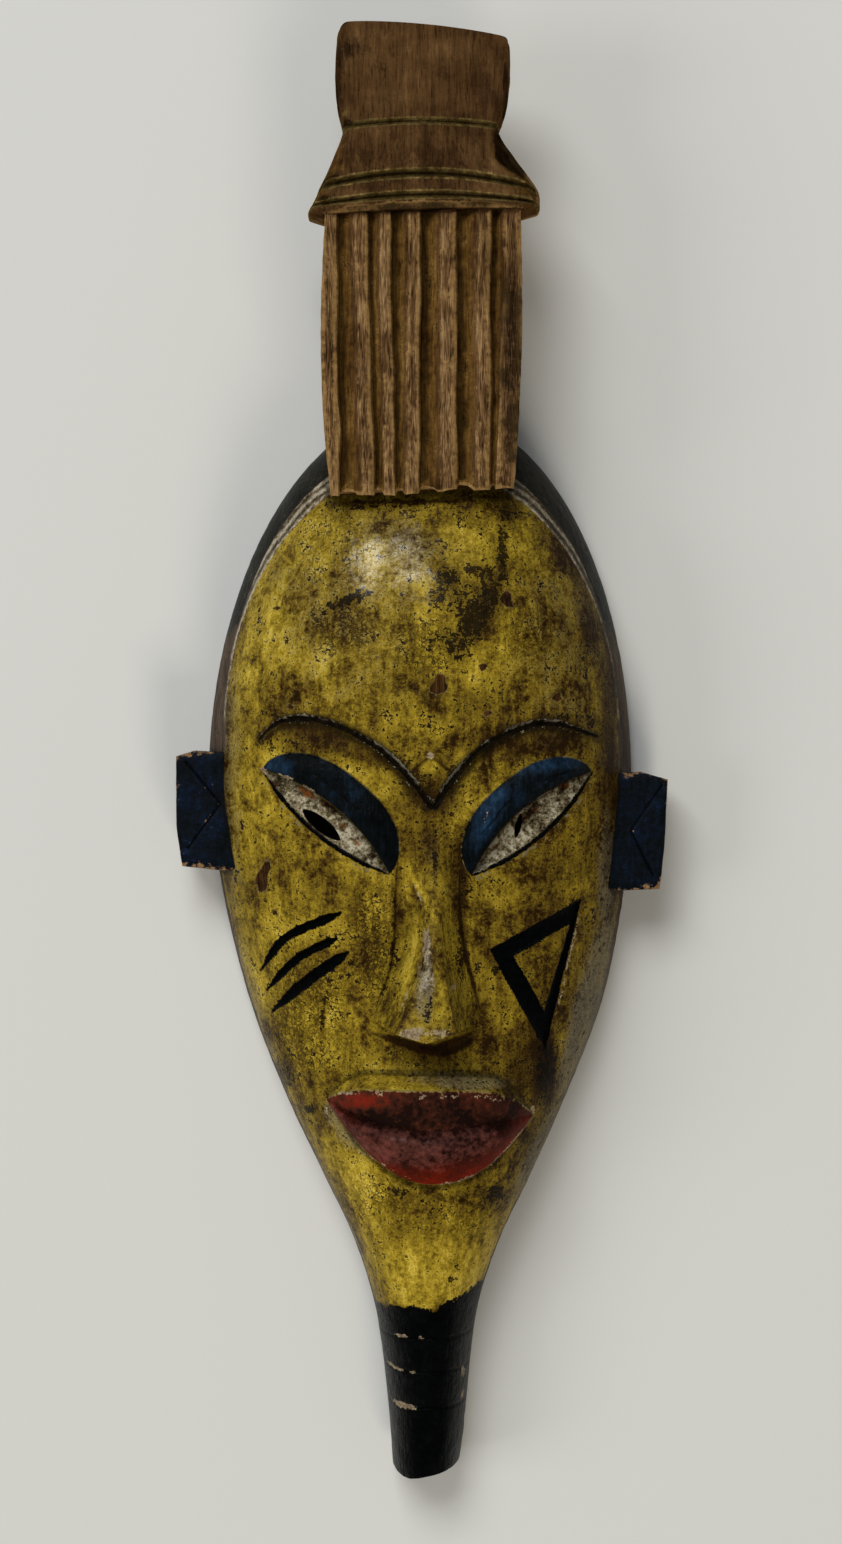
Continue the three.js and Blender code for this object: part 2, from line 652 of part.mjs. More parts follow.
// The lips, from the left corner to the right: a bevel climbs to the upper ridge, the upper lip falls
// in to the seam, and the lower lip swells out again and rolls down to an edge
function lipsSolid() {
  const rings = [];
  for (let i = 0; i <= lips.steps; i++) {
    const u = -Math.cos((i / lips.steps) * Math.PI) * 0.995;
    const x = mouth.centre + mouth.half * u;
    const { top, seam, low, full } = lipArcs(x);
    const lower = (across, height) => [lerp(seam, low, across), full * height];
    const profile = [
      [top + lips.bevel * full, -0.6], [top, full * lips.ridge],
      [lerp(top, seam, 0.55), full * lips.ridge * 0.72],
      lower(0, lips.ridge * lips.upper), lower(0.14, lerp(lips.ridge * lips.upper, lips.lower, 0.7)),
      lower(0.3, lips.lower), lower(0.55, lips.lower * 0.9), lower(0.8, lerp(lips.lower, lips.edge, 0.6)),
      lower(1, lips.edge), [low - 0.3, -0.6], [low, -12], [top, -12],
    ];
    rings.push(profile.map(([y, lift]) => [x, y, heightAt(x, y) + lift]));
  }
  return tube(rings);
}

// A V groove along a path over the face: a closed cutter, open above the surface, sharp below it
function grooveSolid(path, width, depth, pointed) {
  const above = depth;
  const rings = path.map(([x, y], i) => {
    const [ax, ay] = path[Math.max(0, i - 1)];
    const [bx, by] = path[Math.min(path.length - 1, i + 1)];
    const length = Math.hypot(bx - ax, by - ay);
    const right = [(by - ay) / length, (ax - bx) / length];
    const end = Math.min(i, path.length - 1 - i) / (path.length - 1);
    const part = pointed ? clamp(0.3 + 3.5 * end, 0.3, 1) : 1;
    const half = part * width * (depth + above) / (2 * depth);
    const z = heightAt(x, y);
    return [
      [x - right[0] * half, y - right[1] * half, z + part * above],
      [x + right[0] * half, y + right[1] * half, z + part * above],
      [x, y, z - part * depth],
    ];
  });
  return tube(rings);
}

// Every line cut with a knife: brows, lower lids, cheek strokes, the triangle and the beard's rings
function grooveSolids() {
  const grooves = browPaths.map((path) => grooveSolid(path, brow.width, brow.depth, true));
  for (const { path, width } of strokes) {
    grooves.push(grooveSolid(curved(path, stroke.steps), width, stroke.depth, true));
  }
  for (const { path, width } of triangle) {
    grooves.push(grooveSolid(spaced(path, stroke.steps), width, stroke.depth, false));
  }
  for (const which of [eyeLeft, eyeRight]) {
    grooves.push(grooveSolid(lidLine(which), eye.lineWidth, eye.lineDepth, true));
  }
  for (const ring of beard.rings) {
    const [left, right] = [-1, 1].map((side) => [side * halfWidth(ring, side) * beard.ringReach, ring]);
    const path = spaced([left, right], 8);
    grooves.push(grooveSolid(path, beard.ringWidth, beard.ringDepth, false));
  }
  return grooves;
}

// Points at equal steps along a straight line
function spaced([from, to], parts) {
  return Array.from({ length: parts + 1 }, (_, i) => from.map((v, k) => lerp(v, to[k], i / parts)));
}

// The line under an eye's white, from end to end
function lidLine(which) {
  const { at, length } = eyeFrame(which);
  return spaced([[0.01], [0.99]], 10).map(([t]) => at(t * length, eye.low * 4 * t * (1 - t)));
}

// The wedge of wood that is missing behind the beard
function beardBackSolid() {
  const end = beardTip - 20;
  const rise = (beard.backRise * (beard.backFrom - end)) / (beard.backFrom - beardTip);
  const outline = [[beard.backFrom, 0], [beard.backFrom, -5], [end, -5], [end, rise]];
  return prism(outline, 80, yAxis, zAxis, xAxis, new THREE.Vector3(-40, 0, 0));
}

function maskSolid() {
  const eyes = [eyeLeft, eyeRight];
  const added = [noseSolid(), lipsSolid(), blockSolid(), boardSolid(), earSolid(earLeft), earSolid(earRight)];
  const removed = [beardBackSolid(), hollowSolid(), ...grooveSolids(), ...eyes.map(slitSolid)];
  let mask = faceSolid();
  for (const part of eyes.map(lidSolid)) mask = mask.add(part);
  for (const part of eyes.map(whiteSolid)) mask = mask.subtract(part);
  for (const part of added) mask = mask.add(part);
  for (const part of removed) mask = mask.subtract(part);
  return mask;
}

const { vertProperties, triVerts } = maskSolid().getMesh();
const geometry = geometryOf(Array.from(vertProperties), Array.from(triVerts));
geometry.computeVertexNormals();
const carvedMask = new THREE.Mesh(geometry, new THREE.MeshStandardMaterial(wood));
carvedMask.name = 'carved_mask';
carvedMask.position.y = -(crestTop + beardTip) / 2;

const group = new THREE.Group();
group.add(carvedMask);
export default group;
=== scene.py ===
import math

import bmesh
import bpy
import numpy as np
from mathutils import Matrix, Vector
from mathutils.bvhtree import BVHTree


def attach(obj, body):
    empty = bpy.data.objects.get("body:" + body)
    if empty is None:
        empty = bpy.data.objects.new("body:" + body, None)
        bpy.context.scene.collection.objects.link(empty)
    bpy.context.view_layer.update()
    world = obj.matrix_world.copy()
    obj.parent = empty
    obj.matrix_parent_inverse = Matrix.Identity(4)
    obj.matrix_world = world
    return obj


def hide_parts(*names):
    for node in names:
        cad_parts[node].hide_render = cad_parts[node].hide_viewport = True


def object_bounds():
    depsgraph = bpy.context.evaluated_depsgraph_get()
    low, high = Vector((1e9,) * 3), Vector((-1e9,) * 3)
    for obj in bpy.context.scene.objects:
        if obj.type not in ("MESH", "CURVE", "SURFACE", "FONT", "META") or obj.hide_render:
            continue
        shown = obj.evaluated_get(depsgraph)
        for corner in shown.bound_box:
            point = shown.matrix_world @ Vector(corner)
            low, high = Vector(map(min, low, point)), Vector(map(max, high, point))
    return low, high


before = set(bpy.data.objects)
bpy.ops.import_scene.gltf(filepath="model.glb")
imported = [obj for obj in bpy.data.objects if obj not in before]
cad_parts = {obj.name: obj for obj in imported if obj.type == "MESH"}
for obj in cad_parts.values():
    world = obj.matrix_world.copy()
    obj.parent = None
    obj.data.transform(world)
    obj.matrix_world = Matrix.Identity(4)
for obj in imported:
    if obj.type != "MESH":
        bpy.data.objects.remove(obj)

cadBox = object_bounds()
print("frame loaded: one carved node")

# Tables are in millimetres. Heights run along Y from a line just below the brows,
# which lies this far from the middle of the mask.
mm = 0.001
crestTop = 303.1
beardTip = -306.5
middle = (crestTop + beardTip) / 2
eyeNames = ("left", "right")
farOut = -9.0  # what a zone holds well outside its own place


# shared maths


def ease(low, high, v):
    # 0 below low, 1 above high, 3t^2 - 2t^3 between
    t = np.clip((v - low) / (high - low), 0, 1)
    return t * t * (3 - 2 * t)


def lerp(a, b, t):
    return a + (b - a) * t


def smoothLine(rows, column=1):
    # a cubic through a table: value and slope meet at each row, slopes come from the rows beside it
    table = np.array(sorted(rows), float)
    where, value = table[:, 0], table[:, column]
    last = len(where) - 1
    before = np.maximum(np.arange(last + 1) - 1, 0)
    after = np.minimum(np.arange(last + 1) + 1, last)
    slope = (value[after] - value[before]) / (where[after] - where[before])

    def at(v):
        v = np.clip(v, where[0], where[-1])
        i = np.clip(np.searchsorted(where, v, side="right") - 1, 0, last - 1)
        step = where[i + 1] - where[i]
        t = (v - where[i]) / step
        rise = value[i + 1] - value[i]
        start, end = slope[i] * step, slope[i + 1] * step
        return value[i] + t * (start + t * (3 * rise - 2 * start - end + t * (start + end - 2 * rise)))

    return at


def curved(points, parts):
    # a path through a few points: x and y are each a smooth line over the length walked
    points = np.array(points, float)
    walked = np.concatenate([[0], np.cumsum(np.hypot(*np.diff(points, axis=0).T))])
    rows = np.column_stack([walked, points])
    steps = np.linspace(0, walked[-1], parts + 1)
    return np.column_stack([smoothLine(rows.tolist(), 1)(steps), smoothLine(rows.tolist(), 2)(steps)])


def nearPath(path, x, y):
    # distance to the nearest stretch of a path, the share of its length walked there, and the side (+ left)
    best = np.full(np.shape(x), 1e9)
    along = np.zeros(np.shape(x))
    side = np.ones(np.shape(x))
    lengths = np.hypot(*np.diff(path, axis=0).T)
    walked = np.concatenate([[0], np.cumsum(lengths)])
    for i, length in enumerate(lengths):
        (ax, ay), (dx, dy) = path[i], path[i + 1] - path[i]
        t = np.clip(((x - ax) * dx + (y - ay) * dy) / length**2, 0, 1)
        distance = np.hypot(x - ax - t * dx, y - ay - t * dy)
        closer = distance < best
        best = np.where(closer, distance, best)
        along = np.where(closer, (walked[i] + t * length) / walked[-1], along)
        side = np.where(closer, np.sign((y - ay) * dx - (x - ax) * dy), side)
    return best, along, side


def ripple(length, seed, x, y=0, z=0):
    # smooth random swell of about -1 to 1: a mean of nine sines whose waves run every way
    rng = np.random.default_rng(seed)
    waves = 9
    total = np.zeros(np.shape(x))
    for _ in range(waves):
        way = rng.normal(size=3)
        way *= 2 * math.pi / (length * rng.uniform(0.7, 1.5)) / np.linalg.norm(way)
        total = total + np.sin(way[0] * x + way[1] * y + way[2] * z + rng.uniform(0, 2 * math.pi))
    return total / math.sqrt(waves)


# the head: outline, crown and relief, as in the carved solid

head = {
    "top": 150.5,
    "widest": -14,
    "powers": {-1: 2.0, 1: 2.1},
    "crownOffset": 2.2,
    "domeTop": 40,
    "sectionPower": 2.6,
    "rim": [
        [-14, 92.6, 90.8], [-59, 86.2, 87.4], [-106, 74.4, 78], [-146, 59, 62.6], [-183, 41.4, 46],
        [-205, 30.8, 35.2], [-228, 22.8, 26.8], [-247, 18.6, 22.6], [-280, 14.7, 19.2], [beardTip, 13, 16.8],
    ],
    "crown": [
        [40, 76], [10, 75.5], [-20, 71.5], [-50, 66.5], [-100, 62], [-145, 59], [-185, 54.5],
        [-210, 49.5], [-232, 45], [-260, 41], [beardTip, 35],
    ],
    "columns": 200, "domeRows": 66, "faceRows": 190, "beardRows": 62, "chin": -186,
}

faceEdge = {
    "halfWidth": 83.2, "height": 108, "centre": 13.5, "step": 0.12, "fadeFrom": -36, "fadeTo": 6,
    "ledge": [[40, 1.2], [62, 1.6], [92, 4], [118, 6.5]], "knife": 0.22, "knifeLength": 17,
    "lineHeight": 0.5, "lineHalf": 1.1, "secondLine": 2.9, "secondHalf": 0.8, "askew": 0.03,
}

brow = {
    "width": 2.8, "depth": 1.9, "overhang": 2.2, "reach": 16, "ends": [(0.25, 0), (0, 0.25)],
    "left": [[-67.5, 7], [-59.5, 13.6], [-46, 15], [-32, 10.8], [-17.5, 2.6], [-5, -9.5], [4.4, -22]],
    "right": [[4.6, -22], [12.4, -10.3], [24, 2.2], [39.6, 10.8], [54, 13.2], [73.2, 8]],
}
browPaths = [curved(brow["left"], 60), curved(brow["right"], 60)]

eyes = {
    "left": {"outer": [-67, -5.4], "inner": [-13, -49.4], "lid": 22,
             "slit": {"u": 34.5, "v": -2.2, "length": 20, "half": 2.8, "lean": 0}},
    "right": {"outer": [71.5, -6.4], "inner": [20, -50], "lid": 21,
              "slit": {"u": 28.6, "v": 3, "length": 10, "half": 1.15, "lean": 0.66}},
    "white": 7.4, "low": -6.2, "swell": 4.6, "sinkLow": 1, "sinkHigh": 3.4, "sinkMiddle": 0.5,
    "socket": 3, "socketReach": (0.4, 20), "lineWidth": 1.5, "lineDepth": 1, "steps": 80,
    "lidStep": 0.6, "lidUnder": 0.3, "below": 9, "above": 9,
}

mouth = {
    "centre": 3.4, "half": 43.4, "corner": -147.5, "tilt": -3.6, "above": 9.6, "seam": -7.5, "below": -30.4,
}
lips = {
    "ridge": 9, "upper": 0.5, "bevel": 6.5, "round": 1.8, "roundRight": 2.3, "steps": 110,
    "lower": [[0, 4.5], [0.14, 8.1], [0.3, 9.8], [0.55, 8.9], [0.8, 6.2], [1, 3.6]],
}
muzzle = {"centre": -152, "rise": 6, "wide": 34, "tall": 26}

rimLeft, rimRight = smoothLine(head["rim"], 1), smoothLine(head["rim"], 2)
crownHeight = smoothLine(head["crown"])
ledgeWidth = smoothLine(faceEdge["ledge"])


def halfWidth(y, side):
    # the outline's half width: a half ellipse above the widest place, the table below it
    t = np.clip((y - head["widest"]) / (head["top"] - head["widest"]), 0, 1)
    power = np.where(side < 0, head["powers"][-1], head["powers"][1])
    return np.where(side < 0, rimLeft(y), rimRight(y)) * (1 - t**power) ** (1 / power)


def crownAt(y):
    # the middle line's height: the table, rounded off to nothing at the head's top
    t = np.clip((y - head["domeTop"]) / (head["top"] - head["domeTop"]), 0, 1)
    return crownHeight(y) * np.sqrt(1 - t * t)


def browRelief(x, y):
    # just below each brow the face is a little deeper, and comes back up within its reach
    total = np.zeros(np.shape(x))
    for path, mine in zip(browPaths, (x < 4.5, x >= 4.5)):
        distance, along, side = nearPath(path, x, y)
        under = ease(0, 2, distance) * ease(brow["reach"], 2, distance)
        ends = ease(0, 0.15, along) * ease(0, 0.15, 1 - along)
        total = total - np.where(mine & (side < 0), brow["overhang"] * under * ends, 0)
    return total


def eyeFrame(which):
    # from the eye's left end to its right end: start, unit vector along, unit vector up, length
    ends = sorted([eyes[which]["outer"], eyes[which]["inner"]])
    start = np.array(ends[0], float)
    along = np.array(ends[1], float) - start
    length = float(np.hypot(*along))
    along = along / length
    return start, along, np.array([-along[1], along[0]]), length


def eyeCoordinates(which, x, y):
    # u along the eye, v up across it, and the three arcs at u: white's low edge, lid's edge, lid's outer arc
    start, along, up, length = eyeFrame(which)
    u = (x - start[0]) * along[0] + (y - start[1]) * along[1]
    v = (x - start[0]) * up[0] + (y - start[1]) * up[1]
    w = np.clip(np.abs(2 * u / length - 1), 0, 1)
    arc = 1 - w * w
    return u, v, eyes["low"] * arc, eyes["white"] * arc, eyes[which]["lid"] * np.sqrt(1 - w**2.4)


def socketRelief(which, x, y):
    # a shallow bowl round each eye: a bell of u and v
    u, v, _, _, _ = eyeCoordinates(which, x, y)
    length = eyeFrame(which)[3]
    wide, tall = eyes["socketReach"]
    return -eyes["socket"] * np.exp(-(((u - length / 2) / (wide * length)) ** 2) - ((v - 4) / tall) ** 2)


def muzzleRelief(x, y):
    # the face swells out behind the lips: a bell of x and y
    side = (x - mouth["centre"]) / muzzle["wide"]
    up = (y - muzzle["centre"]) / muzzle["tall"]
    return muzzle["rise"] * np.exp(-side * side - up * up)


def outsideFace(x, y):
    # how far a point is outside the face's edge, which is an ellipse above its centre and straight below
    high = faceEdge["height"] - np.where(x > 0, faceEdge["askew"] * x, 0)
    reach = np.hypot(x / faceEdge["halfWidth"], np.maximum(0, y - faceEdge["centre"]) / high)
    return (reach - 1) * faceEdge["halfWidth"]


def ledgeAt(x, y):
    # 0 on the face, 1 down on the hair: a bevel of the ledge's width, with thin raised lines along it
    outside = outsideFace(x, y)
    fade = ease(faceEdge["fadeFrom"], faceEdge["fadeTo"], y)
    first = np.exp(-((outside / faceEdge["lineHalf"]) ** 2))
    second = np.exp(-(((outside - faceEdge["secondLine"]) / faceEdge["secondHalf"]) ** 2))
    return ease(0, ledgeWidth(y), outside) * fade, (first + np.where(x > 0, second, 0)) * fade


def carvedHeight(x, y, lift):
    # the crown's height times lift, a step down on the hair, plus the reliefs and the knife's slight swell
    hair, lines = ledgeAt(x, y)
    z = crownAt(y) * lift * (1 - faceEdge["step"] * hair)
    relief = browRelief(x, y) + muzzleRelief(x, y) + socketRelief("left", x, y) + socketRelief("right", x, y)
    swell = faceEdge["knife"] * ripple(faceEdge["knifeLength"], 3, x, y) + faceEdge["lineHeight"] * lines
    return np.maximum(0, z + (relief + swell) * ease(0, 0.35, lift))


def heightAt(x, y):
    # the face's height over any point, before lids, nose and lips
    x, y = np.asarray(x, float), np.asarray(y, float)
    side = np.where(x < head["crownOffset"], -1, 1)
    reach = np.maximum(halfWidth(y, side) - side * head["crownOffset"], 1e-6)
    s = np.clip(np.abs(x - head["crownOffset"]) / reach, 0, 1)
    return carvedHeight(x, y, np.sqrt(1 - s ** head["sectionPower"]))


# meshes from arrays


def gridFaces(rows, columns, ring):
    # quads between each row of points and the next; a ring's last point joins its first
    i = np.arange(rows - 1)[:, None] * columns
    j = np.arange(columns if ring else columns - 1)[None, :]
    k = (j + 1) % columns
    quads = np.stack([i + j, i + k, i + columns + k, i + columns + j], axis=-1)
    return quads.reshape(-1, 4).tolist()


def solidFrom(name, points, faces, material):
    # a closed mesh of millimetre points: doubles merged, n-gons cut into triangles, faces turned outwards
    mesh = bpy.data.meshes.new(name)
    placed = (np.asarray(points, float) - [0, middle, 0]) * mm
    mesh.from_pydata(placed.tolist(), [], faces)
    work = bmesh.new()
    work.from_mesh(mesh)
    bmesh.ops.remove_doubles(work, verts=work.verts, dist=0.00001)
    bmesh.ops.dissolve_degenerate(work, edges=work.edges, dist=0.000001)
    bmesh.ops.triangulate(work, faces=[f for f in work.faces if len(f.verts) > 4])
    bmesh.ops.recalc_face_normals(work, faces=work.faces)
    work.to_mesh(mesh)
    work.free()
    mesh.materials.append(material)
    piece = bpy.data.objects.new(name, mesh)
    bpy.context.scene.collection.objects.link(piece)
    return piece


def loft(name, rings, material):
    # rings of points, rows x columns x 3, closed by a flat face at each end
    rings = np.asarray(rings, float)
    rows, columns = rings.shape[:2]
    ends = [list(range(columns)), list(range((rows - 1) * columns, rows * columns))]
    return solidFrom(name, rings.reshape(-1, 3), gridFaces(rows, columns, True) + ends, material)


def combine(base, other, operation):
    # joins or cuts two closed meshes, each face keeping its own material, and drops the second
    modifier = base.modifiers.new("combine", "BOOLEAN")
    modifier.operation = operation
    modifier.solver = "MANIFOLD"
    modifier.material_mode = "TRANSFER"
    modifier.object = other
    graph = bpy.context.evaluated_depsgraph_get()
    made = bpy.data.meshes.new_from_object(base.evaluated_get(graph))
    old = base.data
    base.modifiers.clear()
    base.data = made
    bpy.data.meshes.remove(old)
    bpy.data.meshes.remove(other.data)


def welded(mesh, gap):
    # joins points closer than the gap, which removes the slivers that cutting leaves
    work = bmesh.new()
    work.from_mesh(mesh)
    bmesh.ops.remove_doubles(work, verts=work.verts, dist=gap)
    bmesh.ops.dissolve_degenerate(work, edges=work.edges, dist=gap / 4)
    bmesh.ops.triangulate(work, faces=work.faces)
    alike = {}
    for face in work.faces:
        alike.setdefault(frozenset(face.verts), []).append(face)
    doubled = [face for same in alike.values() if len(same) > 1 for face in same]
    bmesh.ops.delete(work, geom=doubled, context="FACES")
    bmesh.ops.holes_fill(work, edges=[e for e in work.edges if len(e.link_faces) == 1], sides=0)
    bmesh.ops.triangulate(work, faces=[f for f in work.faces if len(f.verts) > 3])
    bmesh.ops.delete(work, geom=[e for e in work.edges if not e.link_faces], context="EDGES")
    work.to_mesh(mesh)
    work.free()


# the head's front surface


def frontSolid(material):
    # rows of y and columns round from the left rim: x goes with the sine, height with the section's curve
    dome, chin = head["domeTop"], head["chin"]
    upper = dome + (head["top"] - dome) * np.sin(np.linspace(math.pi / 2, 0, head["domeRows"])[:-1])
    faceRows = np.linspace(dome, chin, head["faceRows"])[:-1]
    rows = np.concatenate([upper, faceRows, np.linspace(chin, beardTip, head["beardRows"])])
    turn = np.linspace(-math.pi / 2, math.pi / 2, head["columns"] + 1)
    y, turn = np.meshgrid(rows, turn, indexing="ij")
    side = np.where(turn < 0, -1, 1)
    s = np.abs(np.sin(turn))
    half = halfWidth(y, side)
    centre = np.minimum(head["crownOffset"], half)
    x = centre + side * s * (half - side * centre)
    lift = np.sqrt(np.clip(1 - s ** head["sectionPower"], 0, 1))
    z = carvedHeight(x, y, lift)
    z[:, 0] = z[:, -1] = 0
    points = np.stack([x, tipCut(x, y), z], axis=-1)
    count, columns = y.shape
    left = np.arange(count) * columns
    back = np.stack([left[:-1], left[1:], left[1:] + columns - 1, left[:-1] + columns - 1], axis=-1)
    tip = list(range((count - 1) * columns, count * columns))
    faces = gridFaces(count, columns, False) + back.tolist() + [tip]
    return solidFrom("carvedPaintedMask", points.reshape(-1, 3), faces, material)


beard = {
    "rings": [-245.4, -260, -275.6], "ringWidth": 1.9, "ringDepth": 1.1, "ringReach": 0.95,
    "backFrom": -236, "backRise": 10, "below": 5, "reach": 40,
    "tipFrom": -290, "lowest": -5, "slant": 0.21, "corner": 0.03,
}


def tipCut(x, y):
    # the beard's end is cut a little askew, with its corners off
    right = np.maximum(0, x - beard["lowest"])
    left = np.maximum(0, beard["lowest"] - x)
    askew = beard["slant"] * right + beard["corner"] * left * left
    return y + askew * ease(beard["tipFrom"], beardTip, y)


def beardBackSolid(material):
    # a wedge behind the beard, from nothing to its full rise at the tip
    end = beardTip - 20
    rise = beard["backRise"] * (beard["backFrom"] - end) / (beard["backFrom"] - beardTip)
    side = [[beard["backFrom"], 0], [beard["backFrom"], -beard["below"]], [end, -beard["below"]], [end, rise]]
    rings = [[[x, y, z] for y, z in side] for x in (-beard["reach"], beard["reach"])]
    return loft("beardBack", rings, material)


# eyes


def eyeRings(which, profile):
    # profiles across the eye, closer towards its ends: rows of v and of height over the face
    start, along, up, length = eyeFrame(which)
    t = lerp(0.004, 0.996, (1 - np.cos(np.linspace(0, math.pi, eyes["steps"] + 1))) / 2)
    w = np.abs(2 * t - 1)
    v, rise = profile(t, 1 - w * w, eyes[which]["lid"] * np.sqrt(1 - w**2.4))
    spot = start + t[:, None, None] * length * along + v[:, :, None] * up
    z = heightAt(spot[..., 0], spot[..., 1]) + rise
    return np.concatenate([spot, z[..., None]], axis=-1)


def lidShape(t, arc, outer, across):
    # the lid's place and swell: highest near its edge, falling to the face at the outer arc
    edge = eyes["white"] * arc
    full = eyes["swell"] * np.minimum(1, 2.4 * arc)
    rise = full * (1 - across**2.2) * (0.8 + 0.2 * ease(0, 0.22, across))
    return lerp(edge, outer, across), rise


def lidSolid(which, material):
    def profile(t, arc, outer):
        across = np.linspace(1, 0, 22)[None, :]
        t, arc, outer = t[:, None], arc[:, None], outer[:, None]
        v, rise = lidShape(t, arc, outer, across)
        rise = rise - np.where(across == 1, eyes["lidStep"], 0)
        under = np.concatenate([v[:, -1:] - eyes["lidUnder"], v[:, -1:], v[:, :1]], axis=1)
        deep = np.tile([-2, -eyes["below"], -eyes["below"]], (len(t), 1))
        return np.concatenate([v, under], axis=1), np.concatenate([rise, deep], axis=1)

    return loft("lid", eyeRings(which, profile), material)


def whiteSolid(which, material):
    # a flat let into the face under the lid, deepest along the lid's edge
    def profile(t, arc, outer):
        high, low = eyes["white"] * arc[:, None], eyes["low"] * arc[:, None]
        full = np.minimum(1, 3 * arc[:, None])
        across = np.linspace(0, 1, 8)[None, :]
        v = np.concatenate([high, low, lerp(low, high, across)], axis=1)
        sink = lerp(eyes["sinkLow"], eyes["sinkHigh"], across) * full
        sink = sink + eyes["sinkMiddle"] * full * np.sin(math.pi * across)
        above = np.full_like(high, eyes["above"])
        rise = np.concatenate([above, above, -sink], axis=1)
        return v, rise

    return loft("white", eyeRings(which, profile), material)


def slitSolid(which, material):
    # a lens cut right through the shell
    start, along, up, _ = eyeFrame(which)
    slit = eyes[which]["slit"]
    angle = np.linspace(0, 2 * math.pi, 40, endpoint=False)
    a = slit["length"] / 2 * np.cos(angle)
    b = slit["half"] * np.sin(angle) * np.abs(np.sin(angle)) ** 0.4
    u = slit["u"] + (a * math.cos(slit["lean"]) - b * math.sin(slit["lean"]))
    v = slit["v"] + (a * math.sin(slit["lean"]) + b * math.cos(slit["lean"]))
    spot = start + u[:, None] * along + v[:, None] * up
    rings = [np.column_stack([spot, np.full(len(spot), z)]) for z in (0, 100)]
    return loft("slit", rings, material)


# nose

nose = {
    "top": -24, "tip": -110, "drop": 7, "wing": 0.3, "steps": 70, "flank": 16,
    "edgeShare": 0.955, "hollow": 1.55, "below": 14,
    "line": [[-24, 4.4], [-67, 5.4], [-92, 4.2], [-110, 1.6]],
    "ridge": [[-24, 3], [-42, 3.2], [-67, 2.4], [-90, 5], [-110, 12.4]],
    "foot": [[-24, 8], [-50, 13], [-67, 11.6], [-83, 13.4], [-94, 18], [-110, 23]],
    "rise": [[-24, -1.2], [-34, 1.4], [-44, 5], [-67, 13], [-90, 21], [-110, 28.5]],
}


def noseSolid(material):
    # sections down the nose: a ridge, then hollow flanks that fall as a power; the tip is cut off below
    centre, ridge, foot, rise = (smoothLine(nose[key]) for key in ("line", "ridge", "foot", "rise"))
    t = np.linspace(1, 0, nose["steps"] + 1)[:, None]
    y = lerp(nose["top"], nose["tip"], t)
    top = np.linspace(-1, 1, 7)[None, :-1][:, 1:]
    flank = np.linspace(1, 0, nose["flank"])[None, :]
    left, right = -lerp(ridge(y), foot(y), flank), lerp(ridge(y), foot(y), flank[:, ::-1])
    off = np.concatenate([left, top * ridge(y), right], axis=1)
    fall = np.concatenate([flank, np.zeros_like(top), flank[:, ::-1]], axis=1)
    edge = nose["edgeShare"]
    level = edge + (1 - edge) * np.sqrt(np.clip(1 - (off / np.maximum(ridge(y), 0.1)) ** 2, 0, 1))
    lift = rise(y) * np.where(fall > 0, edge * (1 - fall) ** nose["hollow"], level)
    x = centre(y) + off
    cut = (nose["wing"] * np.abs(off) - nose["drop"]) * ease(0.8, 1, t)
    z = heightAt(x, y + 0 * x) + lift - np.where(fall == 1, 0.6, 0)
    front = np.stack([x, y + cut, z], axis=-1)
    below = front[:, [-1, 0]] - [0, 0, nose["below"]]
    return loft("nose", np.concatenate([front, below], axis=1), material)


# mouth


def lipArcs(x):
    # the lips' upper edge, seam and lower edge at x, and how full the lips are there
    u = np.clip((x - mouth["centre"]) / mouth["half"], -1, 1)
    a = np.abs(u)
    corner = mouth["corner"] + mouth["tilt"] * u * a * a
    top = corner + mouth["above"] * (1 - a**5)
    seam = corner + mouth["seam"] * (1 - a**1.6)
    low = corner + mouth["below"] * (1 - a ** np.where(u < 0, lips["round"], lips["roundRight"]))
    return top, seam, low, np.minimum(1, 1.6 * (1 - a * a)) ** 0.75


def lipsSolid(material):
    # sections from corner to corner: a bevel up to the ridge, the upper lip in to the seam, the lower lip out
    u = -np.cos(np.linspace(0, math.pi, lips["steps"] + 1)) * 0.995
    x = mouth["centre"] + mouth["half"] * u
    top, seam, low, full = (value[:, None] for value in lipArcs(x))
    ridge, flat = lips["ridge"], np.ones_like(top)
    bevel = np.linspace(1, 0, 6)[None, :-1]
    upper = np.linspace(0, 1, 9)[None, :-1]
    under = np.linspace(0, 1, 18)[None, :]
    y = [top + lips["bevel"] * full * bevel, lerp(top, seam, upper), lerp(seam, low, under),
         low - 0.3, low, top]
    rise = [full * (ridge * (1 - bevel) ** 0.9 - 0.6 * bevel),
            full * ridge * (1 - lips["upper"] * upper**1.3), full * smoothLine(lips["lower"])(under),
            -0.6 * flat, -12 * flat, -12 * flat]
    y, rise = np.concatenate(y, axis=1), np.concatenate(rise, axis=1)
    x = np.broadcast_to(x[:, None], y.shape)
    return loft("lips", np.stack([x, y, heightAt(x, y) + rise], axis=-1), material)


# knife lines

triangle = {
    "outer": [[27.9, -80.4], [66.6, -59.9], [51.6, -123]], "inner": [[38, -83.4], [62.2, -70], [51, -106.6]],
    "depth": 1.5, "steps": 14, "across": [-0.12, 0, 0.16, 0.5, 0.84, 1, 1.12],
    "section": [1.4, 0, -0.9, -1, -0.9, 0, 1.4],
}

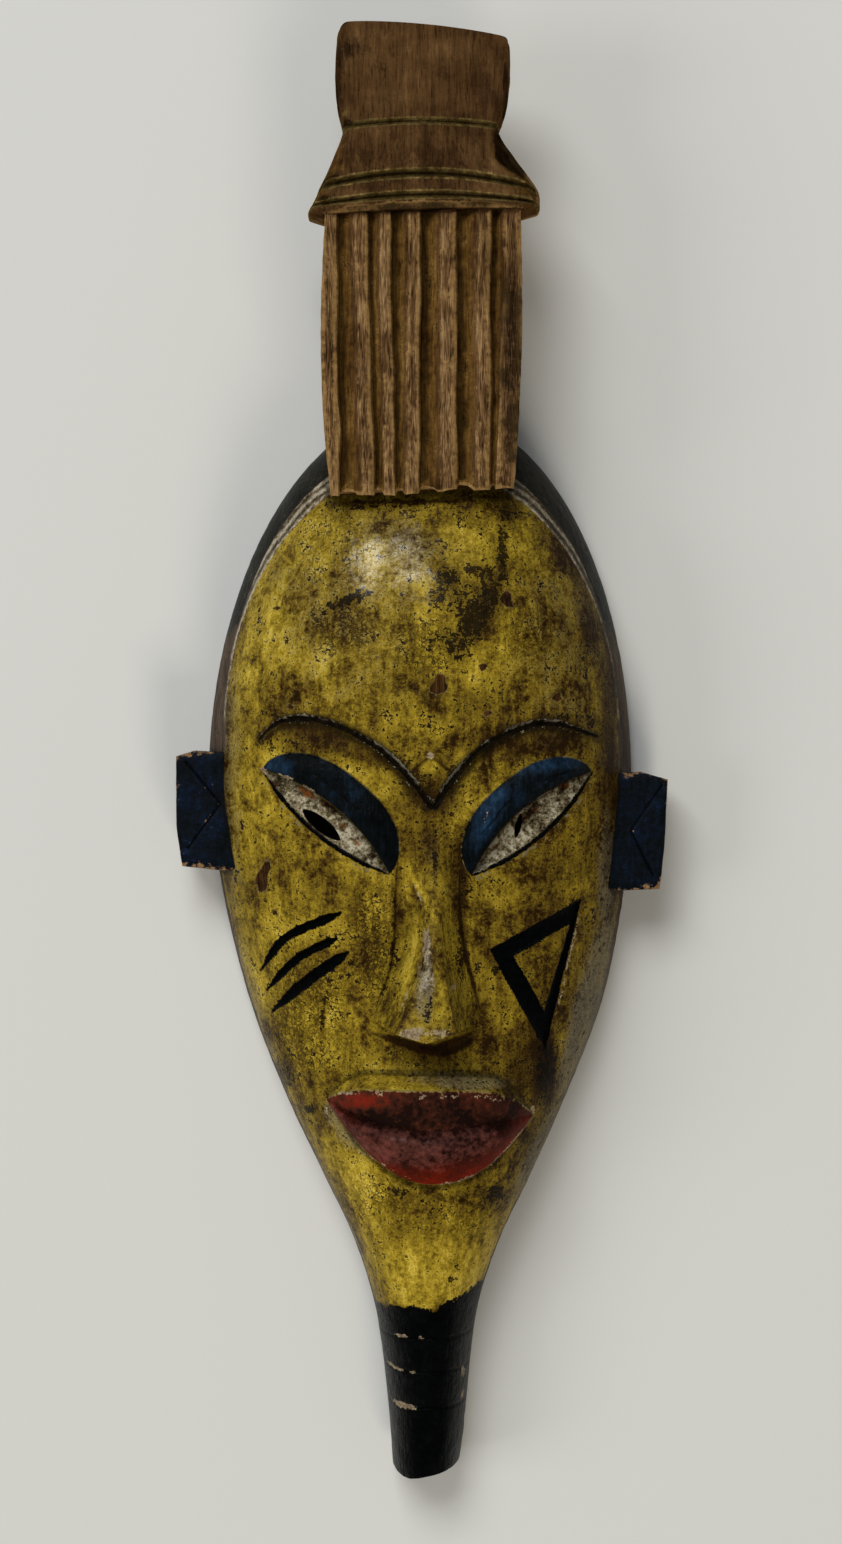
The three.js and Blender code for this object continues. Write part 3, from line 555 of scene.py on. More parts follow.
knife = {
    "depth": 2, "strokeEnds": (0.3, 0.12), "lidEnds": (0.2, 0.2), "creaseEnds": (0.3, 0.3), "parts": 16,
    "across": [-1.9, -1, -0.45, 0, 0.45, 1, 1.9], "section": [1.2, 0, -0.78, -1, -0.78, 0, 1.2],
    # each line: its path, width and depth
    "strokes": [
        [[[-68, -90.6], [-57.3, -76.6], [-33.9, -65.4]], 3.6],
        [[[-65.5, -99], [-51.8, -84.6], [-35.2, -75.8]], 3.4],
        [[[-63, -107.8], [-48.8, -94.8], [-30.9, -81.8]], 4.6],
    ],
    # bands of painted shadow, not cut: under the nose's edge, and below the crest's foot
    "shade": [
        [[[-20.7, -115.2], [-9.1, -118.6], [3.3, -121.6], [12.4, -119.2], [23.2, -113.6]], 4.2, 0],
        [[[3, -123.6], [12.4, -122], [24, -116]], 4, 0],
        [[[-35, 105.6], [-12, 104.4], [14, 105.6], [36, 107.6]], 2, 0],
    ],
    "creases": [
        [[[-51, -6.4], [-45.2, -8.2], [-39.4, -11], [-33.3, -15.8], [-27.9, -21.6]], 1.8, 1],
        [[[38.7, -17.3], [33.8, -21.4], [30.4, -26.2], [24.4, -32.6]], 1.8, 1],
        [[[47.4, -12], [54.5, -8.7], [63.4, -6.6], [70, -6]], 1.5, 0.8],
        [[[3.6, -0.6], [8, -3.8], [12.4, -7.6]], 1.3, 0.6],
        [[[3.6, -0.6], [-0.5, -3.6], [-4.4, -8]], 1, 0.4],
        [[[-10.4, -47], [-11, -60], [-11.2, -73], [-13.5, -90], [-19, -104]], 1.3, 0.6],
        [[[15.6, -49], [16, -67], [18.2, -82], [21.8, -97], [24.6, -107]], 1.5, 0.7],
    ],
}


def lowerLidPath(which):
    # the line under an eye: a parabola from end to end
    start, along, up, length = eyeFrame(which)
    t = np.linspace(0.01, 0.99, 40)[:, None]
    return start + t * length * along + eyes["low"] * 4 * t * (1 - t) * up


def knifeLines():
    # every painted line cut in the face: path, width, depth, and how far its two ends run out to a point
    strokes = [(curved(path, 24), width, knife["depth"], knife["strokeEnds"])
               for path, width in knife["strokes"]]
    return strokes + [(lowerLidPath(which), eyes["lineWidth"], eyes["lineDepth"], knife["lidEnds"])
                      for which in eyeNames]


def creaseLines(rows):
    # fine lines left unpainted, and the bands of painted shadow, in the same form
    return [(curved(path, knife["parts"]), width, depth, knife["creaseEnds"]) for path, width, depth in rows]


def taper(along, pointed):
    # the share of a line's width left near its ends
    share = np.ones_like(along)
    for walked, reach in ((along, pointed[0]), (1 - along, pointed[1])):
        share = np.minimum(share, 0.3 + 0.7 * ease(0, max(reach, 0.001), walked))
    return share


def surfaceUnder(tree, spots):
    # the mask's own height at each spot, found by looking straight down on it
    down = Vector((0, 0, -1))
    above = np.insert(spots.reshape(-1, 2) - [0, middle], 2, 200, axis=1) * mm
    hits = [tree.ray_cast(Vector(spot), down)[0] for spot in above.tolist()]
    return np.array([hit.z / mm for hit in hits]).reshape(spots.shape[:-1])


def grooveSolid(tree, path, width, depth, pointed, material):
    # a cutter along a path: open above the face, a rounded V below it
    step = np.gradient(path, axis=0)
    step /= np.hypot(*step.T)[:, None]
    right = np.column_stack([step[:, 1], -step[:, 0]])
    share = taper(np.linspace(0, 1, len(path)), pointed)[:, None]
    across = np.array([knife["across"]]) * width / 2 * share
    deep = np.array([knife["section"]]) * depth * share
    spot = path[:, None, :] + across[..., None] * right[:, None, :]
    z = surfaceUnder(tree, path)[:, None] + deep
    return loft("groove", np.concatenate([spot, z[..., None]], axis=-1), material)


def frameSolid(tree, material):
    # sections between the triangle's two outlines: a flat-bottomed groove whose corners meet in a mitre
    part = np.linspace(0, 1, triangle["steps"], endpoint=False)[:, None]
    sides = []
    for key in ("outer", "inner"):
        corners = np.array(triangle[key], float)
        sides.append(np.concatenate([lerp(a, b, part) for a, b in zip(corners, np.roll(corners, -1, 0))]))
    spot = lerp(sides[0][:, None], sides[1][:, None], np.array(triangle["across"])[None, :, None])
    z = surfaceUnder(tree, spot) + np.array([triangle["section"]]) * triangle["depth"]
    rings = np.concatenate([spot, z[..., None]], axis=-1)
    rings = np.concatenate([rings, rings[:1]])
    return solidFrom("frame", rings.reshape(-1, 3), gridFaces(*rings.shape[:2], True), material)


def ringPath(height):
    # a slightly wavering line across the beard
    ends = [side * halfWidth(np.array(height), side) * beard["ringReach"] for side in (-1, 1)]
    x = np.linspace(float(ends[0]), float(ends[1]), 30)
    return np.column_stack([x, height + 0.25 * np.sin(x * 0.45)])


# the hollow behind the face

hollow = {
    "wall": 12.5, "top": 127, "bottom": -203, "skin": 14, "blunt": 9, "rows": 90, "steps": 60, "gouge": 0.5,
    "gougeLength": 24, "below": 5,
}


def hollowSolid(material):
    # a smaller head: the walls' thickness in from the rim, the skin's below the crown, with gouge marks
    turn = -np.cos(np.linspace(0, math.pi, hollow["rows"] + 1))[:, None]
    y = lerp(hollow["bottom"], hollow["top"], (turn + 1) / 2)
    close = np.maximum(0.02, np.sqrt(1 - np.abs(turn) ** hollow["blunt"]))
    angle = (np.linspace(0, 1, hollow["steps"] + 1)[None, :] - 0.5) * math.pi
    side = np.where(angle < 0, -1, 1)
    s = np.abs(np.sin(angle)) ** (2 / head["sectionPower"])
    x = side * s * (halfWidth(y, side) - hollow["wall"]) * close
    z = np.cos(angle) * (crownAt(y) - hollow["skin"]) * close
    z = z - hollow["gouge"] * np.abs(ripple(hollow["gougeLength"], 11, x * 2.2, y)) * np.cos(angle)
    ring = np.stack([x, y + 0 * x, z], axis=-1)
    ends = ring[:, [-1, 0]] * [1, 1, 0] - [0, 0, hollow["below"]]
    return loft("hollow", np.concatenate([ring, ends], axis=1), material)


# the crest

block = {
    "foot": 107.5, "top": 228,
    "side": [[107.5, 37.6, 37.9], [127, 39.8, 39.3], [145, 41.1, 40.3], [180, 41.8, 41.5], [228, 40, 40.8]],
    "front": [[107.5, 71], [150, 67.5], [228, 65]],
    "back": [[107.5, 20], [150, 31], [228, 38]],
    "ridgesTop": [-37.7, -25.3, -15.2, -3.3, 11, 25.5, 37.1],
    "ridgesFoot": [-36.4, -22.3, -13.2, -3.9, 11, 25.2, 33.6],
    "ridgeHalf": [2.5, 2.9, 2.3, 2.7, 3.2, 2.9, 3.3],
    "ridgesHigh": 198, "depth": 3.1, "scallop": 2.2, "steep": 0.9, "wobble": 0.22, "waves": 61, "rows": 110,
    "tops": (0, 0.12, 0.5, 0.88, 1), "channels": (0, 0.14, 0.3, 0.46, 0.62, 0.8), "tilt": 0.043,
    "sides": (0.03, 0.1, 0.25, 0.5, 0.75, 1),
}


def blockSolid(material):
    # sections up the block: flat ridges, and channels that drop steeply on their left and climb late
    left, right = smoothLine(block["side"], 1), smoothLine(block["side"], 2)
    front, back = smoothLine(block["front"]), smoothLine(block["back"])
    y = np.linspace(block["foot"], block["top"], block["rows"] + 1)
    t = np.clip((y - block["foot"]) / (block["ridgesHigh"] - block["foot"]), 0, 1)
    edges = []
    for i, top in enumerate(block["ridgesTop"]):
        sway = block["wobble"] * np.sin(2 * math.pi * y / block["waves"] + 2.1 * i)
        chatter, other = 0.2 * ripple(28, 20 + i, y), 0.22 * ripple(26, 40 + i, y)
        centre = lerp(block["ridgesFoot"][i], top, t) + sway
        half = block["ridgeHalf"][i]
        edges.append((centre - half + chatter, centre + half + other))
    xs, zs = [], []
    for i, (start, end) in enumerate(edges):
        start = -left(y) if i == 0 else start
        last = i == len(edges) - 1
        end = right(y) if last else end
        for part in block["tops"]:
            xs.append(lerp(start, end, part))
            zs.append(front(y) - 0.5 * abs(2 * part - 1) ** 6 + 0.12 * ripple(14, 60 + i, y, xs[-1]))
        if last:
            break
        following = edges[i + 1][0]
        deep = block["depth"] * (1 + 0.12 * np.sin(1.7 * i + y / 19) + 0.1 * ripple(16, 80 + i, y))
        for part in block["channels"]:
            xs.append(lerp(end + block["steep"], following, part))
            zs.append(front(y) - deep * (1 - part**2.2) * (1 + 0.06 * ripple(9, 70 + i, y, xs[-1])))
    for edge, downwards in ((right(y), block["sides"]), (-left(y), block["sides"][::-1])):
        for part in downwards:
            xs.append(edge)
            zs.append(lerp(front(y) - 0.5, back(y), part))
    x, z = np.stack(xs, axis=1), np.stack(zs, axis=1)
    foot = block["tilt"] * x + 0.5 * ripple(11, 5, x)
    foot = foot + block["scallop"] * ease(0.8, 2.4, front(y)[:, None] - z)
    rows = y[:, None] + foot * ease(block["foot"] + 8, block["foot"], y)[:, None] * (z > back(y)[:, None] + 1)
    return loft("flutedBlock", np.stack([x, rows, z], axis=-1), material)


boardTop = crestTop - 1.35
board = {
    "foot": 225, "corner": [3.2, 1.8], "back": 38, "backTop": 40, "across": 26, "bulge": 0.0011,
    "eased": 4, "drop": 1.1, "down": [0.02, 0.06, 0.14, 0.26, 0.4, 0.6, 0.8, 1], "flare": 0.6,
    # each row: height, half widths in front left, right, behind left, right, and the front's level
    "rows": [
        [225, 39.8, 41.2, 41.5, 42.5, 68], [229.5, 45, 46, 47.6, 48.4, 69.5],
        [236, 43, 45, 45.6, 49.4, 68.2], [242.5, 39.5, 42.4, 42.9, 48.6, 66.6],
        [247.5, 36.5, 31.8, 40, 44.4, 65], [254, 33.8, 30.6, 36.8, 38.2, 64],
        [262, 31.3, 30.4, 33.4, 32.4, 63], [266.8, 33, 32.4, 34.2, 33.6, 63],
        [273, 34.3, 34, 35.6, 35.4, 63.2], [282, 34.9, 35, 36.4, 36.6, 63.6],
        [290, 34.9, 35.4, 36.2, 37, 64.2], [boardTop, 33.8, 35.7, 35.4, 36.8, 65],
    ],
    "lean": [[225, 0.03], [240, 0.005], [262, 0], [285, -0.045], [boardTop, -0.09]],
    "sag": [[225, 0.8], [231, 2.8], [240, 4.6], [262, 3.2], [boardTop, 2.4]],
    "grooves": [[262.2, 1.3, 1.6], [239.8, 2.1, 2.6], [230.6, 1.7, 2.4]],
}


def boardSolid(material):
    # sections up the board, each leaning and sagging a little, with its front edges eased and three grooves
    eased = board["eased"]
    heights = [np.arange(board["foot"], boardTop - eased, 2.0)]
    heights += [boardTop - eased * (1 - np.sin(np.linspace(0, math.pi / 2, 12)))]
    heights += [y + half * np.linspace(-1.2, 1.2, 9) for y, half, _ in board["grooves"]]
    h = np.unique(np.round(np.concatenate(heights), 3))[:, None]
    frontLeft, frontRight, backLeft, backRight, front = (smoothLine(board["rows"], k)(h) for k in range(1, 6))
    ends = []
    for radius in board["corner"]:
        past = np.clip((h - boardTop + radius) / radius, 0, 1)
        ends.append(radius * (1 - np.sqrt(1 - past * past)))
    deep = np.zeros_like(h)
    for y, half, depth in board["grooves"]:
        deep = np.maximum(deep, depth * ease(half, 0, np.abs(h - y)))
    part = (1 - np.cos(np.linspace(0, math.pi, board["across"] + 1)))[None, :] / 2
    x = lerp(-frontLeft + ends[0], frontRight - ends[1], part)
    z = front - deep - board["bulge"] * x * x - board["drop"] * np.abs(2 * part - 1) ** 24
    back = lerp(board["back"], board["backTop"], (h - board["foot"]) / (boardTop - board["foot"]))
    down = np.array([board["down"]])
    out = ease(0, board["flare"], down)
    right, left = lerp(frontRight, backRight, out) - ends[1], -lerp(frontLeft, backLeft, out) + ends[0]
    level = lerp(z[:, :1], back, down)
    x = np.concatenate([x, right, left[:, ::-1]], axis=1)
    z = np.concatenate([z, level, level[:, ::-1]], axis=1)
    y = h + smoothLine(board["lean"])(h) * x - smoothLine(board["sag"])(h) * (x / 40) ** 2
    return loft("flaredBoard", np.stack([x, y, z], axis=-1), material)


# the ears

ears = {
    "thick": 23, "back": 10, "ease": 0.9, "cutWidth": 1.2, "cutDepth": 0.8,
    "cut": [(-1, 1), (-0.5, 0), (0, -1), (0.5, 0), (1, 1)],
    "left": {
        "outline": [[-78, 1], [-84, 1.4], [-96.5, 2.2], [-104.2, -0.3], [-104.2, -30], [-101.6, -47],
                    [-84, -48.8], [-78, -48]],
        "arrow": [[-100.2, -2.4], [-85.2, -20.5], [-99, -39.3]],
    },
    "right": {
        "outline": [[78, -7], [83.2, -7.2], [92.8, -6.9], [104.2, -10.1], [102.9, -37.6], [100.8, -56.6],
                    [82, -57.4], [78, -56]],
        "arrow": [[101.8, -12.3], [88.4, -31.8], [97.8, -50.9]],
    },
}


def earSolid(which, material):
    # the outline at several levels, pulled in a little at the front and back so that the edges are eased
    outline = np.array(ears[which]["outline"], float)
    part = np.linspace(0, 1, 9)[:-1, None]
    dense = np.concatenate([lerp(a, b, part) for a, b in zip(outline, np.roll(outline, -1, 0))])
    centre = outline.mean(0)
    away = dense - centre
    away /= np.abs(away).max(1)[:, None]
    back, far = ears["back"], ears["back"] + ears["thick"]
    steps = [(1, back), (0.3, back + 0.3), (0, back + 1)]
    steps += [(0, z) for z in np.linspace(back + 2, far - 1, 14)] + [(0.3, far - 0.3)]
    rings = [(dense - away * pull * ears["ease"], z) for pull, z in steps + [(1, far)]]
    rings += [(dense - (dense - centre) * pull / 14.5, far) for pull in np.linspace(1, 14, 12)[1:]]
    return loft("ear", [np.column_stack([ring, np.full(len(dense), z)]) for ring, z in rings], material)


def arrowSolids(which, material):
    # the arrow's two strokes, each a small V cutter laid on the ear's face
    points = np.array(ears[which]["arrow"], float)
    top = ears["back"] + ears["thick"]
    made = []
    for a, b in zip(points[:-1], points[1:]):
        along = (b - a) / np.hypot(*(b - a))
        right = np.array([along[1], -along[0]]) * ears["cutWidth"]
        rings = [[np.append(spot + right * w, top + d * ears["cutDepth"]) for w, d in ears["cut"]]
                 for spot in (a, b)]
        made.append(loft("arrow", rings, material))
    return made


# where each finish lies: distances in millimetres, above nought inside


def ovalShares(row, x, y):
    # a point as shares of an oval's half length and half width; the row begins with centre, halves and turn
    cx, cy, long, wide, turn = row[:5]
    a = math.radians(turn)
    along = ((x - cx) * math.cos(a) + (y - cy) * math.sin(a)) / long
    return along, ((y - cy) * math.cos(a) - (x - cx) * math.sin(a)) / wide


def ovals(rows, x, y):
    # each row's strength, full within 0.4 of its oval's edge and gone at 1.5
    total = np.zeros(x.shape)
    for row in rows:
        total = np.maximum(total, row[5] * ease(1.5, 0.4, np.hypot(*ovalShares(row, x, y))))
    return total


def flakes(rows, x, y):
    # how far inside the nearest wobbly oval a point lies
    best = np.full(x.shape, farOut)
    for row in rows:
        along, across = ovalShares(row, x, y)
        angle = np.arctan2(across, along)
        edge = 1 + 0.16 * np.sin(3 * angle + row[0]) + 0.1 * np.sin(5 * angle + row[1])
        best = np.maximum(best, (edge - np.hypot(along, across)) * min(row[2:4]))
    return best


# each row: centre, half length, half width, turn in degrees, and for all but the chips the strength
marks = {
    # dark smears of glaze; a few rows are painted shadow, below the crest's foot and beside the nose
    "smear": [
        [-31, 63, 10, 2.4, 20, 1.2], [6, 64.5, 4, 3.4, 0, 0.95], [11, 73, 6, 4, 0, 0.95],
        [24, 75.5, 8, 2.4, -8, 1.05], [33, 84, 13, 2.6, 90, 0.95], [28, 66, 6, 3, 40, 1],
        [24, 58, 17, 6.5, 66, 1.15], [15, 46, 9, 4, 60, 0.9], [20, 66, 9, 6, 20, 0.6], [7, 47, 5, 3, 0, 0.6],
        [68, 44, 13, 2.6, 92, 0.5], [-60, 16.5, 8, 2, -12, 0.7], [-65, 8, 4, 3, 40, 0.8],
        [72, 14, 5, 3, -15, 0.7], [54, 16, 15, 2, -4, 0.6], [52, -131, 18, 5, 92, 1],
        [-47, -149, 3, 2.6, 0, 0.9], [-60, -136, 7, 6, 60, 0.6], [30, -184, 6, 5, 0, 0.8],
        [-8, -182, 7, 1.6, -15, 0.8], [14, -213, 2.4, 3, 0, 0.8], [12, -220, 2, 2, 0, 0.7],
        [-41, -108, 10, 1.2, 88, 0.75], [4, -103, 6.5, 1, 86, 1], [5.2, -44, 8, 0.9, 88, 0.95],
        [3, -63, 5, 1.2, 84, 0.8], [-11.6, -70, 24, 1.7, 91, 0.62], [17, -68, 32, 2.4, 88, 0.52],
        [-48, -186, 26, 2, -62, 0.55], [36, 100, 6, 4, 0, 0.7], [-20, 104, 22, 2, 0, 0.6],
        [3, -16, 3, 8, 0, 0.6], [-29, -86, 2.6, 1.4, 30, 0.9], [5.6, -42, 1.4, 14, 0, 0.7],
        [30, -85, 3, 8, 20, 0.6], [0, -19, 2, 4, 0, 0.8],
    ],
    # soft brown glaze stains; some rows are painted shade, under the nose, below the crest's foot and down
    # the mask's sides
    "stain": [
        [28, 45, 34, 40, 0, 0.25], [0, 104, 52, 10, 0, 0.35], [-8, 92, 20, 9, -10, 0.5],
        [-32, 52, 15, 9, 0, 0.55], [54, 1, 32, 10, -6, 0.7], [-48, 6, 26, 7, -14, 0.6],
        [2, -16, 14, 18, 0, 0.6], [20, -80, 11, 46, 0, 0.4], [62, -60, 22, 60, 0, 0.55],
        [46, -140, 14, 34, 0, 0.8], [-60, -128, 12, 18, 20, 0.2], [14, -186, 28, 7, 0, 0.4],
        [-28, -75, 12, 22, 0, 0.35], [-60, 24, 12, 12, 0, 0.45], [34, 16, 44, 14, 0, 0.4],
        [-22, 24, 6, 26, 0, 0.35], [28, -122, 22, 10, 0, 0.6], [-36, -190, 8, 30, 30, 0.2],
        [61, 84, 30, 6, -58, 0.6], [72, 60, 10, 40, 0, 0.6], [2, -36, 13, 12, 0, 0.55],
        [15, -52, 5, 22, 0, 0.8], [-10, -56, 3, 18, 0, 0.7], [-40, 6, 30, 5, -20, 0.8],
        [36, 10, 30, 6, 10, 0.65], [-84, 10, 5, 70, 0, 0.6], [82, 10, 9, 80, 0, 1],
        [-54, -50, 24, 10, -10, 0.2], [-46, -84, 24, 16, 0, 0.3], [-40, -130, 14, 22, 20, 0.15],
        [1, -66, 10, 24, 0, 0.25], [-6, -128, 34, 7, 0, 0.05], [-64, -120, 5, 50, 18, 0.1],
        [-56, -60, 24, 16, 0, 0.4], [4, -124, 24, 5, 0, 0.8], [20, -130, 14, 8, 0, 0.6],
    ],
    # paler patches of paint; some rows are painted highlights, on the forehead, the nose's left side and the
    # lids
    "bright": [
        [20, 38, 16, 10, 0, 0.4], [-2, 44, 12, 8, 0, 0.3], [-6, -88, 16, 2.2, 78, 0.45],
        [9, -96, 12, 1.6, 100, 0.5], [-27, -143, 10, 4, 0, 0.9], [-22, 82, 9, 16, 0, 0.6],
        [-2, 69, 12, 5, -15, 0.7], [-54, -70, 14, 8, 0, 0.2], [-46, -122, 14, 14, 0, 0.3],
        [-15, -126, 14, 5, 0, 0.5], [4, -216, 24, 16, 0, 0.9], [-24, -184, 9, 14, 20, 0.7],
        [2, 57, 7, 9, 0, 0.6], [3.4, -4.4, 4, 3, 0, 0.8], [1, -59, 12, 1.5, -62, 1],
        [-48, 42, 20, 9, 0, 0.5], [-66, 52, 10, 16, 0, 0.5], [-44, 88, 14, 14, 0, 0.6],
        [4, 12, 20, 9, 0, 0.5], [-70, -98, 8, 18, 0, 0.5], [50, -56, 26, 5, 8, 0.35],
        [-60, -4, 9, 4, -20, 0.7], [27, -25, 5, 14, -25, 0.9], [52, -3, 20, 4, 10, 0.6],
    ],
    "crackle": [
        [-20, -76, 9, 26, 0, 1], [-48, -108, 16, 26, 0, 0.9], [-32, 52, 16, 12, 0, 0.9],
        [0, 44, 16, 12, 0, 0.8], [-22, -186, 16, 12, 0, 0.8], [46, 50, 14, 10, 0, 0.7],
        [-38, 84, 16, 16, 0, 0.6], [10, -196, 22, 9, 0, 0.4],
    ],
    "polish": [
        [-23, 84, 17, 9, 90, 1.2], [-1, 70, 12, 7, -15, 1.4], [-8, 84, 12, 12, 0, 0.8],
        [20, 80, 10, 6, 0, 0.3], [1, -80, 3, 26, 0, 0.9], [2, -160, 26, 6, 0, 0.3],
        [50, -12, 14, 8, 30, 0.5], [-40, -16, 16, 5, -35, 0.3], [-60, 40, 20, 40, 0, 0.2],
        [0, -225, 16, 8, 0, 0.15],
    ],
    # a grey film of dust, with painted sheen on the forehead, the nose's ridge, the lips and the sides
    "film": [
        [-34, 60, 38, 50, 0, 0.42], [56, 40, 26, 50, 0, 0.35], [2.4, -90, 20, 2.6, 92, 0.9],
        [-12, 88, 24, 11, -10, 0.5], [16, -134.5, 22, 3.4, -4, 0.9], [-14, -161, 22, 8, -12, 1.2],
        [14, -160, 20, 8, 10, 0.9], [-34, -154, 12, 6, -50, 0.8], [-80, -10, 5, 60, 0, 0.5],
        [-70, -110, 4, 40, 16, 0.6], [-48, -172, 4, 34, 28, 0.5], [70, -108, 7, 46, -14, 1.2],
        [52, -166, 6, 32, -28, 1], [78, -50, 5, 30, 0, 0.8], [-0.5, -91, 7, 1.7, 92, 1],
        [-1, -100, 8, 3, 92, 0.8],
    ],
    "worn": [
        [-3.6, -113, 6, 2.8, 8, 0.95], [7.6, -112.4, 4, 2.2, -10, 0.75], [3.6, -0.2, 1.6, 1.4, 0, 1],
        [1.8, -78, 8, 1.5, 90, 0.95], [-1, -58, 6, 0.7, -64, 0.7], [4.4, -92, 4, 0.7, 86, 0.7],
        [-7, -100, 7, 0.7, 70, 0.6], [-30, -139.6, 5, 0.9, 8, 0.8], [-18, -138.6, 5, 1.1, 0, 0.65],
        [1, -140.4, 2.4, 1, -30, 0.95], [12, -139.6, 6, 0.8, 0, 0.55], [28, -141.4, 8, 1, -12, 0.5],
        [13, -95, 2.4, 0.8, 70, 0.95], [46.6, -149, 1, 2.4, 20, 0.9], [16, -176, 10, 0.8, 14, 0.8],
        [-40, -149, 1, 2, -20, 0.7], [-66, -6.4, 2.2, 1.2, -30, 0.8], [-56, -9, 4, 0.7, -16, 0.8],
        [-47, -13.4, 4, 0.7, -30, 0.8], [26.6, -24.5, 6, 0.6, 62, 0.6], [61.2, -87, 27, 0.6, 77, 0.7],
        [-9, -244.6, 2.8, 0.7, 0, 1.1], [-0.6, -244.8, 1.2, 0.6, 0, 1], [-11.3, -259.4, 3.8, 0.7, -4, 1.1],
        [-3.8, -259.8, 1.2, 0.6, 0, 1], [-7.7, -274.9, 5.2, 1.4, -3, 1.1], [17.6, -262, 2.6, 0.9, 82, 0.9],
        [17.2, -272, 3, 0.6, 82, 0.8], [-18, -168.6, 18, 0.5, -27, 0.5], [36, -163, 16, 0.6, 45, 0.7],
    ],
    "bare": [
        [-47.6, -15.6, 5.4, 1.7, -36, 1], [-40, -19.6, 4, 1.5, -36, 0.9], [-33, -30, 1.6, 2, 20, 0.9],
        [-27.6, -35.6, 2.6, 1.3, -40, 0.9], [58.8, -12.6, 2.6, 1.9, 20, 1], [30.6, -37.8, 2.2, 1.2, 40, 1],
        [45, -24.6, 9, 0.9, 34, 0.8], [-61, -12, 2, 1.2, 0, 0.7],
    ],
    "chip": [
        [7, 28.6, 4.1, 3, 70], [35, 64, 3.4, 2.3, 110], [25, 36, 1.6, 1.3, 0], [56, 24, 1.9, 1.6, 30],
        [27, 17, 1.6, 1, 20], [-18, 40.6, 1.2, 0.9, 0], [-60.5, 61, 1.6, 1, 0], [-66.6, -51, 6.6, 2.4, 76],
        [-54.5, 20, 1.4, 0.9, 0],
    ],
    # dark smears on the crest, and a dark strip along the flare's lower edge that is partly painted shadow
    "crestSmear": [
        [37, 250, 12, 6.5, 118, 1.3], [35, 236, 5, 2, 0, 0.6], [-38, 238.5, 5, 1.6, 10, 0.9],
        [-40, 229.5, 5, 1.4, 10, 0.9], [-31, 262, 3, 1.4, 0, 0.9], [-35, 278, 22, 2.4, 88, 0.7],
        [-28, 292, 8, 6, 0, 0.6], [-18, 282, 14, 7, 120, 0.4], [34.6, 274, 16, 1.6, 90, 0.8],
        [16, 280, 10, 8, 0, 0.3], [-34, 272, 8, 5, 80, 0.5], [0, 225.8, 46, 2, 2, 0.85],
        [-24, 160, 10, 4, 88, 0.45], [20, 140, 12, 5, 80, 0.4], [37, 160, 60, 6, 90, 0.8],
        [26, 200, 16, 3, 90, 0.5], [-38, 180, 16, 2, 90, 0.5],
    ],
}

paintEdge = [
    [-19, -232.8], [-7, -231.2], [3, -232.2], [8, -229.9], [14, -228.6], [19, -226.3], [24.3, -222.8],
]


def lineDistance(lines, x, y):
    # half a knife line's width less the distance to its path, and the signed distance across it
    best, across = np.full(x.shape, farOut), np.zeros(x.shape)
    for path, width, _, pointed in lines:
        distance, along, side = nearPath(path, x, y)
        inside = width / 2 * taper(along, pointed) - distance
        across = np.where(inside > best, distance * side, across)
        best = np.maximum(best, inside)
    return best, across


def outlineDistance(corners, x, y):
    # how far inside a convex outline, walked clockwise, a point lies
    best = np.full(x.shape, 99.0)
    for (ax, ay), (bx, by) in zip(corners, corners[1:] + corners[:1]):
        across = (x - ax) * (by - ay) - (y - ay) * (bx - ax)
        best = np.minimum(best, across / math.hypot(bx - ax, by - ay))
    return best


def eyeZones(zones, x, y):
    # the lids, the whites, and a band just under each white
    zones |= {name: np.full(x.shape, farOut) for name in ("lid", "white", "under")}
    for which in eyeNames:
        _, v, low, edge, outer = eyeCoordinates(which, x, y)
        found = {"lid": np.minimum(v - edge + 0.4, outer - v), "white": np.minimum(v - low, edge - 0.4 - v),
                 "under": np.where(v < 0, 2 - np.abs(low - v - 1.5), farOut)}
        for name, inside in found.items():
            zones[name] = np.maximum(zones[name], np.where(edge > 0.2, inside, farOut))


def crestZones(zones, x, y, z):
    # how far below the crest's front a point lies, the board's grooves, and where the block is fluted
    along = y - smoothLine(board["lean"])(y) * x
    frontBoard = smoothLine(board["rows"], 5)(along) - board["bulge"] * x * x
    inside = np.minimum(x + smoothLine(block["side"], 1)(y), smoothLine(block["side"], 2)(y) - x)
    frontBlock = np.where(inside > 0.3, smoothLine(block["front"])(y), z)
    sunk = np.where(y > 226, frontBoard, frontBlock) - z
    zones["sunk"] = np.where(sunk > 5.5, 0, np.maximum(sunk, 0))
    along = along + smoothLine(board["sag"])(y) * (x / 40) ** 2
    zones["groove"] = np.max([half - np.abs(along - place) for place, half, _ in board["grooves"]], axis=0)
    zones["ridged"] = ease(226, 220, y)


